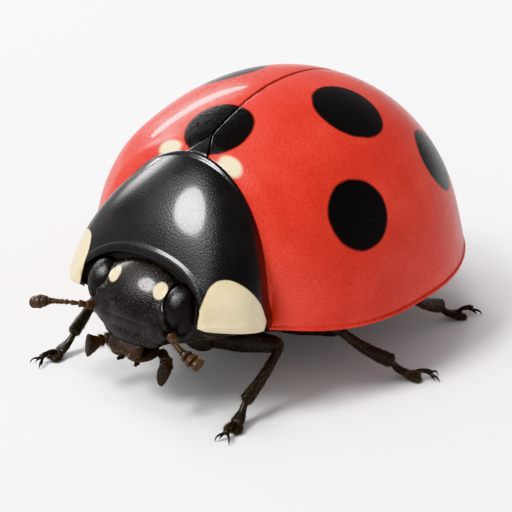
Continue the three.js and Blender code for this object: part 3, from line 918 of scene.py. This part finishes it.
def eye_points(side):
    """A ball of three radii about its outward pole, with a domed facet at each point of a six-way lattice
    laid over it by the angle from the pole."""
    polar = spans((1.5, 2), (105, 128), (176, 12))[:, None]
    turn = np.linspace(0, 2 * np.pi, 400, endpoint=False)[None]
    flat = polar[..., None] * np.stack([np.cos(turn), np.sin(turn)], -1)
    step = FACET_PITCH * np.array([1.0, math.sqrt(3)])
    gaps = []
    for half in (0, 0.5):
        shifted = flat - half * step
        gaps.append(np.linalg.norm(shifted - np.round(shifted / step) * step, axis=-1))
    facet = (np.minimum(*gaps) / (FACET_PITCH / math.sqrt(3))) ** 2
    relief = 1 - FACET_DEPTH * facet * smooth(104, 98, polar)
    x, up, out = np.moveaxis(ball_ways(np.radians(polar), turn), -1, 0)
    cos, sin = math.cos(EYE_LEAN), math.sin(EYE_LEAN)
    ball = np.stack([x * cos - out * sin, up, x * sin + out * cos], -1)
    local = EYE_CENTRE + unit(ball) * relief[..., None] * EYE_RADII
    return mirrored(head_point(*np.moveaxis(local, -1, 0)), side)


def segment_chain(path, marks, sides=22, flat=1.0, up=UP, neck=0.5):
    """Segments along a path: each swells from a neck to its full width near its far end and is rounded off.
    Each mark is (start share, end share, half-width at the near part, half-width at the far part)."""
    grids = []
    for start, end, near, far in marks:
        t = eased(20)
        swell = neck + (1 - neck) * smooth(0.0, 0.3, t)
        wide = mix(near, far, smooth(0.0, 0.85, t)) * swell * shut(t, 0.06, 0.16)
        middle = along(path, mix(start, end, t))
        grids.append(tube(middle, wide, wide * flat, sides, up))
    return grids


# middle lines from the root on the left side of the head, and their segments as segment_chain takes them
ANTENNA_PATH = ((0.8, 0.46, 1.5), (1.12, 0.12, 1.62), (1.5, -0.06, 1.6), (1.86, -0.06, 1.46))
ANTENNA_SEGMENTS = (
    (0.03, 0.2, 0.07, 0.085), (0.18, 0.29, 0.06, 0.07), (0.28, 0.4, 0.042, 0.05), (0.395, 0.47, 0.042, 0.05),
    (0.465, 0.535, 0.043, 0.052), (0.53, 0.59, 0.044, 0.054), (0.585, 0.64, 0.046, 0.058),
    (0.635, 0.69, 0.05, 0.068), (0.685, 0.78, 0.07, 0.115), (0.77, 0.875, 0.1, 0.14),
    (0.865, 0.985, 0.115, 0.13),
)
PALP_PATH = ((0.44, 0.62, 0.98), (0.72, 0.42, 0.9), (0.84, 0.14, 0.86))
PALP_SEGMENTS = ((0.0, 0.16, 0.08, 0.09), (0.12, 0.48, 0.065, 0.11), (0.44, 0.62, 0.07, 0.11))
MANDIBLE_PATH = ((0.42, 0.56, 1.06), (0.36, 0.36, 0.98), (0.24, 0.22, 0.94), (0.06, 0.18, 0.93))
LABIUM_PATH = ((0, 0.84, 1.0), (0, 0.56, 0.92), (0, 0.3, 0.88))
LIP_FEELER_PATH = ((0.1, 0.42, 0.86), (0.17, 0.3, 0.82), (0.2, 0.2, 0.8))
LIP_FEELER_SEGMENTS = ((0, 0.35, 0.035, 0.04), (0.3, 0.75, 0.035, 0.05), (0.7, 1, 0.035, 0.03))


def palp_grids():
    """The feeler of the jaw: three short segments, and a hatchet that widens to a slanting end."""
    grids = segment_chain(PALP_PATH, PALP_SEGMENTS)
    t = eased(26)
    wide = through(t, (0, 0.06), (0.35, 0.13), (0.8, 0.2), (1, 0.21)) * shut(t, 0.08, 0.1)
    middle = along(PALP_PATH, mix(0.58, 1.0, t))
    hatchet = tube(middle, 0.1 * shut(t, 0.1, 0.14), wide, 28)
    hatchet[..., 1] += 0.3 * (hatchet[..., 2] - middle[:, None, 2]) * smooth(0.3, 1, t)[:, None]
    return [*grids, hatchet]


def mandible_grid():
    """A hooked jaw that narrows to its tip."""
    t = eased(30)
    radius = through(t, (0, 0.12), (0.4, 0.1), (0.8, 0.055), (1, 0.03)) * shut(t, 0.1, 0.06)
    return tube(along(MANDIBLE_PATH, t), radius, radius * 0.8, 24)


def labrum_points():
    """The upper lip: a flat pad with a notched front edge, from its hidden root forward and down."""
    t = eased(30)
    middle = head_point(0 * t, mix(-0.72, -1.06, t), mix(0.1, 0.13, t) - 0.05 * t**2)
    grid = tube(middle, 0.37 * shut(t, 0.25, 0.42) ** 0.8, 0.095 * shut(t, 0.1, 0.3), 44, up=FACE)
    notch = 0.05 * bell(grid[..., 0], 0, 0.12) * smooth(0.5, 1, t)[:, None]
    return grid + notch[..., None] * CROWN


def labium_grids():
    """The lower lip: a rounded plate with a small feeler of three segments at each side."""
    t = eased(26)
    ends = shut(t, 0.2, 0.3)
    grids = [tube(along(LABIUM_PATH, t), 0.2 * ends, 0.09 * ends, 28)]
    for side in SIDES.values():
        grids += segment_chain(mirrored(np.array(LIP_FEELER_PATH), side), LIP_FEELER_SEGMENTS, 14)
    return grids


# ---------- trunk ----------
ARCH_TURNS = np.linspace(88, -88, 24)  # degrees, over the hidden arch of each ring across the trunk


def ventral(station, across, side, roundness):
    """Height of the underside between the side edge and the belly line: 0 roundness is flat."""
    return side - (side - belly(station)) * np.maximum(1 - across**2, 0) ** roundness


def trunk_points(first, last, rows, relief, bow=0.0):
    """Rings across the rear trunk: the underside from edge to edge, then the hidden arch under the wing
    cases. `relief` is a function of the station and -1..1 across, added downwards. The front edge reaches
    forwards by `bow` times the square of the share across."""
    t = eased(rows)[:, None]
    low = np.sin(np.radians(np.linspace(-90, 90, 90)))[None]

    def ring(across):
        """Stations and x of the rings at shares across."""
        station = mix(first - bow * across**2, last, t)
        return station, half_width(station, TRUNK_INSET) * across

    s, x = ring(low)
    z = ventral(s, low, rim(s), 0.42) - relief(s, low) * np.maximum(1 - low**2, 0) ** 0.3
    under = np.stack([x, s, z], -1)
    s, x = ring(np.sin(np.radians(ARCH_TURNS))[None])
    over = np.stack([x, s, dome_height(x, s, TRUNK_INSET)], -1)
    points = np.concatenate([under, over], 1)
    squeeze = shut(t, 0.02, 0.02)[..., None]
    middle = points.mean(1, keepdims=True)
    return mix(middle, points, mix(0.97, 1, squeeze))


def prothorax_points():
    """The front chest inside the pronotum: the underside from edge to edge, then the hidden arch."""
    row = mix(0.05, 0.94, eased(50))[:, None]
    low = np.sin(np.radians(np.linspace(-90, 90, 80)))[None]
    high = np.sin(np.radians(ARCH_TURNS))[None]
    under, over = shield(row, low, 0.33), shield(row, high, WALL + 0.03)
    side = mix(PRONOTUM["side_front"], PRONOTUM["side_rear"], row)
    under[..., 2] = ventral(under[..., 1], low, side, 0.6)
    behind_throat = smooth(0.9, 1.3, under[..., 1])
    keel = bell(under[..., 0], 0, 0.14) * behind_throat
    grooves = bell(np.abs(under[..., 0]), 0.22, 0.04) * behind_throat
    under[..., 2] -= 0.05 * keel - 0.03 * grooves
    return np.concatenate([under, over], 1)


VENTRITES = (3.9, 4.95, 5.5, 6.0, 6.45, 6.9, 7.6)  # stations of the edges of the belly's plates


def abdomen_relief(station, across):
    """Each belly plate bulges, slopes down to its rear edge and steps up to the next, on edges that bow
    forwards, with a dimple near each side."""
    bowed = station + 0.22 * across**2
    edges = np.array(VENTRITES)
    index = np.clip(np.searchsorted(edges, bowed, side="right") - 1, 0, len(edges) - 2)
    share = (bowed - edges[index]) / (edges[index + 1] - edges[index])
    arch = np.sin(np.pi * share)
    dimple = arch * bell(np.abs(across), 0.8, 0.07)
    return 0.075 * share * smooth(1.0, 0.93, share) + 0.02 * arch - 0.04 * dimple


def metathorax_relief(station, across):
    """A groove along the middle, and one across before the hind hips."""
    line = 0.03 * bell(across, 0, 0.02) * smooth(3.05, 3.3, station)
    cross = 0.03 * bell(station - 0.1 * across**2, 3.86, 0.03) * smooth(0.9, 0.5, np.abs(across))
    return 0.03 * bell(across, 0, 0.4) - line - cross


def mesothorax_relief(station, across):
    """Grooves that mark off the side plates between the middle hips and the wing cases."""
    slant = np.abs(across) - 0.55 - 0.1 * (station - 2.6)
    return -0.035 * bell(slant, 0, 0.03) - 0.03 * bell(station + 0.3 * np.abs(across), 2.95, 0.03)


# ---------- legs ----------
# the left legs: the middle and the radii of the pod at the hip, the ends of the limbs, and whether the shin
# has spurs
LEGS = {
    "front": {"coxa": ((0.46, 1.62, 0.84), (0.32, 0.24, 0.24)), "hip": (0.66, 1.68, 0.82),
              "knee": (1.98, 1.93, 1.04), "ankle": (1.94, 0.98, 0.36), "toe": (2.08, 0.3, 0.2),
              "spurred": False},
    "middle": {"coxa": ((0.74, 2.74, 0.8), (0.34, 0.26, 0.24)), "hip": (0.98, 2.8, 0.8),
               "knee": (2.42, 3.0, 1.04), "ankle": (3.12, 3.66, 0.36), "toe": (3.62, 4.08, 0.2),
               "spurred": True},
    "hind": {"coxa": ((1.05, 4.06, 0.8), (0.66, 0.24, 0.22)), "hip": (1.5, 4.16, 0.8),
             "knee": (2.7, 4.72, 1.06), "ankle": (2.62, 5.88, 0.36), "toe": (2.86, 6.5, 0.2),
             "spurred": True},
}


def coxa_grid(leg):
    """The hip joint: an oval pod that lies across the body."""
    centre, radii = (np.array(value) for value in leg["coxa"])
    t = eased(30)
    middle = centre + np.stack([mix(-1, 1, t) * radii[0], 0 * t, 0 * t], 1)
    swell = quarter(2 * t - 1, 2.4, 0.5)
    return tube(middle, radii[1] * swell, radii[2] * swell, 36)


def femur_grids(leg):
    """The thigh: a spindle flattened from front to back, with a groove under it for the shin, and the small
    ring joint at its root."""
    hip, knee = np.array(leg["hip"]), np.array(leg["knee"])
    ahead = unit(knee - hip)
    t = eased(48)
    lifted = mix(hip, knee + ahead * 0.05, t[:, None]) + UP * 0.04 * np.sin(np.pi * t)[:, None]
    tall = through(t, (0, 0.13), (0.15, 0.17), (0.45, 0.215), (0.8, 0.17), (1, 0.13)) * shut(t, 0.06, 0.1)
    deep = through(t, (0, 0.11), (0.4, 0.155), (0.8, 0.13), (1, 0.115)) * shut(t, 0.06, 0.1)
    thigh = tube(lifted, deep, tall, 40)
    turn = np.linspace(0, 360, 40, endpoint=False)[None]
    groove = 0.045 * bell(turn, 270, 22) * smooth(0.3, 0.6, t)[:, None] * smooth(1.0, 0.93, t)[:, None]
    thigh[..., 2] += groove
    s = eased(18)
    ends = shut(s, 0.4, 0.4)
    ring = tube(mix(hip - ahead * 0.16, hip + ahead * 0.14, s[:, None]), 0.13 * ends, 0.14 * ends, 26)
    return [thigh, ring]


def tibia_grids(leg):
    """The shin: bowed outwards a little, narrow at the knee, widening to the ankle and flattened, with a
    pair of spurs at its end where the leg has them."""
    knee, ankle = np.array(leg["knee"]), np.array(leg["ankle"])
    outward = unit(np.cross(unit(ankle - knee), np.cross(UP, ankle - knee)))
    t = eased(46)
    middle = mix(knee, ankle, t[:, None]) - outward * 0.05 * np.sin(np.pi * t)[:, None]
    wide = through(t, (0, 0.085), (0.12, 0.078), (0.5, 0.1), (0.88, 0.125), (1, 0.125)) * shut(t, 0.06, 0.06)
    grids = [tube(middle, wide * 0.8, wide, 32)]
    end, ahead = middle[-1], unit(middle[-1] - middle[-8])
    aside = unit(np.cross(ahead, UP))
    signs = (1, -1) if leg["spurred"] else ()
    for sign in signs:
        root = end + aside * sign * 0.05 - UP * 0.05
        tip = end + ahead * 0.15 + aside * sign * 0.07 - UP * 0.07
        grids.append(spike(root, tip, -UP * 0.01, 0.016))
    return grids


def spike(root, tip, bend, radius, rows=12, sides=10):
    """A curved thorn from a root to a tip, pushed sideways by `bend` at its middle."""
    t = eased(rows)[:, None]
    middle = mix(np.array(root), np.array(tip), t) + np.array(bend) * np.sin(np.pi * t)
    thin = radius * (1 - t[:, 0]) ** 0.75 + 0.002
    return tube(middle, thin, thin, sides, up=unit(np.array(bend) + [0.01, 0.02, 0.03]))


def tarsus_grids(leg):
    """The foot, laid along the floor from the ankle: a first segment that widens, a second one split in two
    lobes, a slim one that rises from between them, and a pair of toothed claws."""
    ankle, toe = np.array(leg["ankle"]), np.array(leg["toe"])
    ahead = unit((toe - ankle) * [1, 1, 0])
    reach = np.linalg.norm((toe - ankle)[:2]) + 0.1
    across = np.cross(ahead, UP)

    def place(run, aside, height):
        """A place over the floor: a share of the way along the foot, and so far aside and up."""
        return ankle * [1, 1, 0] + ahead * run * reach + across * aside + UP * height

    def path(*marks):
        """The places of several marks."""
        return np.array([place(*mark) for mark in marks])

    t = eased(24)
    first = tube(along(path((-0.06, 0, 0.36), (0.14, 0, 0.2), (0.4, 0, 0.1)), t),
                 through(t, (0, 0.05), (0.4, 0.07), (0.85, 0.125), (1, 0.12)) * shut(t, 0.08, 0.16),
                 through(t, (0, 0.05), (0.5, 0.06), (1, 0.05)) * shut(t, 0.08, 0.16), 28)
    grids = [first]
    for sign in (1, -1):
        lobe = tube(along(path((0.3, 0, 0.13), (0.44, sign * 0.06, 0.08), (0.64, sign * 0.1, 0.04)), t),
                    through(t, (0, 0.05), (0.6, 0.085), (1, 0.075)) * shut(t, 0.1, 0.2),
                    0.05 * shut(t, 0.1, 0.2), 22)
        lobe[..., 2] = np.maximum(lobe[..., 2], 0.0)
        grids.append(lobe)
    slim = tube(along(path((0.42, 0, 0.11), (0.6, 0, 0.17), (0.78, 0, 0.16), (0.9, 0, 0.11)), t),
                through(t, (0, 0.035), (0.6, 0.042), (1, 0.06)) * shut(t, 0.1, 0.14),
                through(t, (0, 0.03), (0.6, 0.04), (1, 0.055)) * shut(t, 0.1, 0.14), 22)
    grids.append(slim)
    for sign in (1, -1):
        grids.append(spike(place(0.86, sign * 0.03, 0.11), place(1.06, sign * 0.13, 0.004),
                           ahead * 0.03 + across * sign * 0.03 + UP * 0.035, 0.025))
        grids.append(spike(place(0.88, sign * 0.045, 0.09), place(0.97, sign * 0.085, 0.02),
                           across * sign * 0.01, 0.018))
    return grids


def shapes_of(grids, side=1.0):
    """Grids as one closed shape on one side of the body."""
    return joined([closed(mirrored(grid, side)) for grid in grids])


# ---------- coats of hairs ----------
# each coat's number of hairs and their length, thickness and lean
FEELER_COAT = (26, 0.045, 0.0035, 0.55)
PALP_COAT = (45, 0.05, 0.0035, 0.55)
FACE_COAT = (1000, 0.045, 0.003, 0.75)
LIP_COAT = (260, 0.085, 0.004, 0.75)
UNDER_COAT = (0.085, 0.0038, 0.84)  # with a number for each plate
LIMB_COATS = {
    "hip": ((70, 0.055, 0.003, 0.7),),
    "thigh": ((220, 0.055, 0.003, 0.78), (16, 0.04, 0.003, 0.7)),
    "shin": ((360, 0.06, 0.0032, 0.7),),
    "foot": ((110, 0.055, 0.003, 0.68), (150, 0.045, 0.003, 0.55), (150, 0.045, 0.003, 0.55),
             (40, 0.045, 0.003, 0.7)),
}


def off_ends(share, place):
    """Whether roots are clear of the two ends of a limb."""
    return (share[:, 0] > 0.05) & (share[:, 0] < 0.97)


def on_lip_edge(share, place):
    """Whether roots are on the front part of the upper lip."""
    return share[:, 0] > 0.6


def on_face(share, place):
    """Whether roots are on the front of the head and off the eyes."""
    x, up, out = np.moveaxis((place - HEAD_CENTRE) @ np.stack([[1, 0, 0], CROWN, FACE], 1), -1, 0)
    past_eye = np.linalg.norm((np.stack([np.abs(x), up, out], -1) - EYE_CENTRE) / EYE_RADII, axis=-1)
    return (share[:, 0] < 0.75) & (past_eye > 1.08) & (out > 0.1)


def on_underside(points):
    """A function that says whether roots are on the underside of rings across the trunk, which comes before
    their hidden arch."""
    columns = points.shape[1]
    under = columns - len(ARCH_TURNS)

    def keep(share, place):
        return share[:, 1] * columns < under - 1

    return keep


# ---------- all the pieces ----------
def make_shell():
    """The wing cases, the pronotum and the small triangle between them."""
    black = pronotum_finish()
    for name, side in SIDES.items():
        points = wing_case(side)
        flat = ball_map(points.reshape(-1, 3), [0, 4.6, 1.0], [3.1, 3.4, 3.3], [0.65 * side, 0, 1])
        build(f"wing_case_{name}", shell(points), wing_case_finish(name, side), "red_shell",
              [f"elytron_{name}"], skin=flat)
    for name, node, points in (("pronotum_shield", "pronotum", pronotum_points()),
                               ("scutellum_plate", "scutellum", scutellum_points())):
        flat = ball_map(points.reshape(-1, 3), [0, 2.9, 0.8], [2.4, 2.4, 2.4], [0, -0.6, 1])
        build(name, shell(points), black, "black_shell", [node], skin=flat)


def make_head(horn, mouth, hair):
    """The head with its lips, and on each side an eye, a feeler, a palp and a jaw, with their hairs."""
    head = head_point(*np.moveaxis(head_rings(), -1, 0))
    capsule = closed(head)
    flat = ball_map(capsule[0], HEAD_CENTRE - 0.3 * FACE, [1.0, 0.8, 0.8], FACE)
    build("head_capsule", capsule, head_finish(), "black_shell", ["head"], skin=flat)
    build("upper_lip", closed(labrum_points()), mouth, "brown_mouth", ["labrum"])
    build("lower_lip", shapes_of(labium_grids()), mouth, "brown_mouth", ["labium"])
    eye = plain_finish("eye_black", (0.016, 0.012, 0.011), (0.008, 0.007, 0.008), 0.16, depth=0.0005,
                       coat=0.5)
    for name, side in SIDES.items():
        build(f"compound_eye_{name}", closed(eye_points(side)), eye, "eye", [f"eye_{name}"])
        antenna, palp = segment_chain(ANTENNA_PATH, ANTENNA_SEGMENTS, flat=0.85), palp_grids()
        build(f"feeler_{name}", shapes_of(antenna, side), horn, "brown_mouth", [f"antenna_{name}"])
        build(f"palp_{name}", shapes_of(palp, side), mouth, "brown_mouth", [f"maxillary_palp_{name}"])
        build(f"jaw_{name}", shapes_of([mandible_grid()], side), mouth, "brown_mouth", [f"mandible_{name}"])
        coats = [coat(mirrored(grid, side), *FEELER_COAT) for grid in antenna]
        coats += [coat(mirrored(grid, side), *PALP_COAT) for grid in palp]
        hair_piece(f"hairs_of_feeler_{name}", hair, "brown_mouth", *coats)
    hair_piece("hairs_of_head", hair, "black_shell", coat(head, *FACE_COAT, keep=on_face, along=-CROWN),
               coat(labrum_points(), *LIP_COAT, keep=on_lip_edge))


def make_trunk(black, patched, hair):
    """The three rings of the chest and the belly, with the hairs of the underside."""
    middle, rear, waist = THORAX_JOINTS
    tail = BODY_LENGTH - TRUNK_INSET - 0.01
    plates = (
        ("chest_front", "prothorax", black, 900, prothorax_points()),
        ("chest_middle", "mesothorax", patched, 900,
         trunk_points(middle, rear, 60, mesothorax_relief, bow=THORAX_BOW)),
        ("chest_rear", "metathorax", black, 1500, trunk_points(rear, waist, 70, metathorax_relief)),
        ("belly", "abdomen", black, 4200, trunk_points(waist, tail, 240, abdomen_relief)),
    )
    coats = []
    for name, node, finish, count, points in plates:
        build(name, closed(points), finish, "black_shell", [node])
        coats.append(coat(points, count, *UNDER_COAT, keep=on_underside(points)))
    hair_piece("hairs_of_underside", hair, "black_shell", *coats)


def make_legs(horn, hair):
    """The six legs, each of four pieces and one of hairs."""
    for place, leg in LEGS.items():
        for name, side in SIDES.items():
            parts = {"coxa": ("hip", [coxa_grid(leg)]), "femur": ("thigh", femur_grids(leg)),
                     "tibia": ("shin", tibia_grids(leg)), "tarsus": ("foot", tarsus_grids(leg))}
            coats = []
            for node, (word, grids) in parts.items():
                build(f"{word}_{place}_{name}", shapes_of(grids, side), horn, "black_limb",
                      [f"{node}_{place}_{name}"])
                coats += [coat(mirrored(grid, side), *kind, keep=off_ends)
                          for grid, kind in zip(grids, LIMB_COATS[word])]
            hair_piece(f"hairs_of_leg_{place}_{name}", hair, "black_limb", *coats)


limb_black = plain_finish("limb_black", (0.030, 0.024, 0.020), (0.014, 0.012, 0.011), 0.36)
feeler_brown = plain_finish("feeler_brown", (0.085, 0.042, 0.020), (0.035, 0.020, 0.013), 0.4)
mouth_brown = plain_finish("mouth_brown", (0.05, 0.026, 0.016), (0.018, 0.013, 0.011), 0.36)
under_black = plain_finish("under_black", CHEST_BLACK_WORN, CHEST_BLACK, 0.3, grain=0.09, coat=0.5)
pale_hair = plain_finish("pale_hair", (0.26, 0.21, 0.15), (0.13, 0.10, 0.07), 0.5, depth=0.0005, coat=0.0)
make_shell()
make_head(feeler_brown, mouth_brown, pale_hair)
make_trunk(under_black, chest_finish(), pale_hair)
make_legs(limb_black, pale_hair)


# ---------- stage, lights and camera ----------
# the view: degrees round from the front to the animal's left, degrees up, and millimetres away
CAMERA = {"azimuth": 38, "elevation": 27, "distance": 44.0, "target": (-0.01, -0.05, 1.38), "lens": 173}


def add_stage():
    """A wide pale floor and an even white world. Glossy surfaces mirror both at about half their light, and
    the camera sees the world as pale as the far floor, so that no horizon shows."""
    finish = Finish("floor_paper", Roughness=0.7, Specular_IOR_Level=0.0)
    clouds = use(finish.tree, MOTTLE, Place=finish.place, Size=0.02)["Value"]
    paper = blend(finish.tree, clouds, (0.87, 0.87, 0.87), (0.89, 0.89, 0.89))
    glossy = add(finish.tree, "LightPath").outputs["Is Glossy Ray"]
    finish.link(Base_Color=blend(finish.tree, glossy, paper, (0.45, 0.45, 0.45)))
    bpy.ops.mesh.primitive_plane_add(size=2.0, location=(0, 0, 0))
    floor = bpy.context.object
    floor.name = "floor"
    floor.data.materials.append(finish.material)
    world = bpy.data.worlds.new("studio")
    bpy.context.scene.world = world
    world.use_nodes = True
    tree = world.node_tree
    way = add(tree, "SeparateXYZ", {0: add(tree, "TexCoord").outputs["Generated"]})
    height = ramp(tree, way.outputs["Z"], 0.0, 0.75)
    rays = add(tree, "LightPath").outputs
    sky = blend(tree, height, (0.93, 0.93, 0.93), (0.42, 0.42, 0.43))
    sky = blend(tree, rays["Is Glossy Ray"], sky, blend(tree, height, (0.36, 0.36, 0.36), (0.22, 0.22, 0.22)))
    sky = blend(tree, rays["Is Camera Ray"], sky, (0.9, 0.9, 0.9))
    tree.links.new(sky, tree.nodes["Background"].inputs["Color"])
    bpy.context.scene.view_settings.view_transform = "Khronos PBR Neutral"


def aim(thing, place, target, roll=0.0):
    """Sets a light or camera at a place in millimetres, looking at a target and rolled by an angle."""
    place, target = Vector(place) * MM, Vector(target) * MM
    thing.location = place
    turn = (target - place).to_track_quat("-Z", "Y")
    thing.rotation_euler = (turn @ Quaternion((0, 0, 1), math.radians(roll))).to_euler()


def add_light(name, place, wide, tall, power, roll=0.0, mirrored_in_gloss=True, faded=False):
    """A soft oval light aimed at the body, even or fading from its middle to its edge. Its place and size are
    in millimetres."""
    data = bpy.data.lights.new(name, "AREA")
    data.shape = "ELLIPSE"
    data.size, data.size_y, data.energy = wide * MM, tall * MM, power
    if faded:
        data.use_nodes = True
        tree = data.node_tree
        across = add(tree, "NewGeometry").outputs["Parametric"]
        gap = add(tree, "VectorMath", {0: across, 1: (0.5, 0.5, 0.0)}, operation="DISTANCE").outputs["Value"]
        tree.links.new(ramp(tree, gap, 0.1, 0.5, 1.0, 0.0), tree.nodes["Emission"].inputs["Strength"])
    light = bpy.data.objects.new(name, data)
    light.visible_glossy = mirrored_in_gloss
    bpy.context.scene.collection.objects.link(light)
    aim(light, place, (0, 0, 2), roll)


def add_camera():
    """The camera, on a ball round its target."""
    azimuth, elevation = math.radians(CAMERA["azimuth"]), math.radians(CAMERA["elevation"])
    level = math.cos(elevation)
    away = np.array([math.sin(azimuth) * level, -math.cos(azimuth) * level, math.sin(elevation)])
    data = bpy.data.cameras.new("camera")
    data.lens, data.clip_start, data.clip_end = CAMERA["lens"], 0.001, 10
    camera = bpy.data.objects.new("camera", data)
    bpy.context.scene.collection.objects.link(camera)
    aim(camera, CAMERA["target"] + away * CAMERA["distance"], CAMERA["target"])
    bpy.context.scene.camera = camera


def add_sun():
    """A broad soft sun from the upper left of the camera, which lights the floor evenly."""
    data = bpy.data.lights.new("sun", "SUN")
    data.energy, data.angle = 2.1, math.radians(22)
    light = bpy.data.objects.new("sun", data)
    bpy.context.scene.collection.objects.link(light)
    aim(light, (-14, -22, 34), (0, 0, 2))


add_stage()
add_sun()
add_light("streak", (-33, 19, 17), 21, 5, 0.0046, roll=-34)
add_light("left", (-34, 2.6, 18.5), 20, 20, 0.0070, faded=True)
add_light("top", (-12, 2, 44), 30, 30, 0.007, mirrored_in_gloss=False)
add_camera()
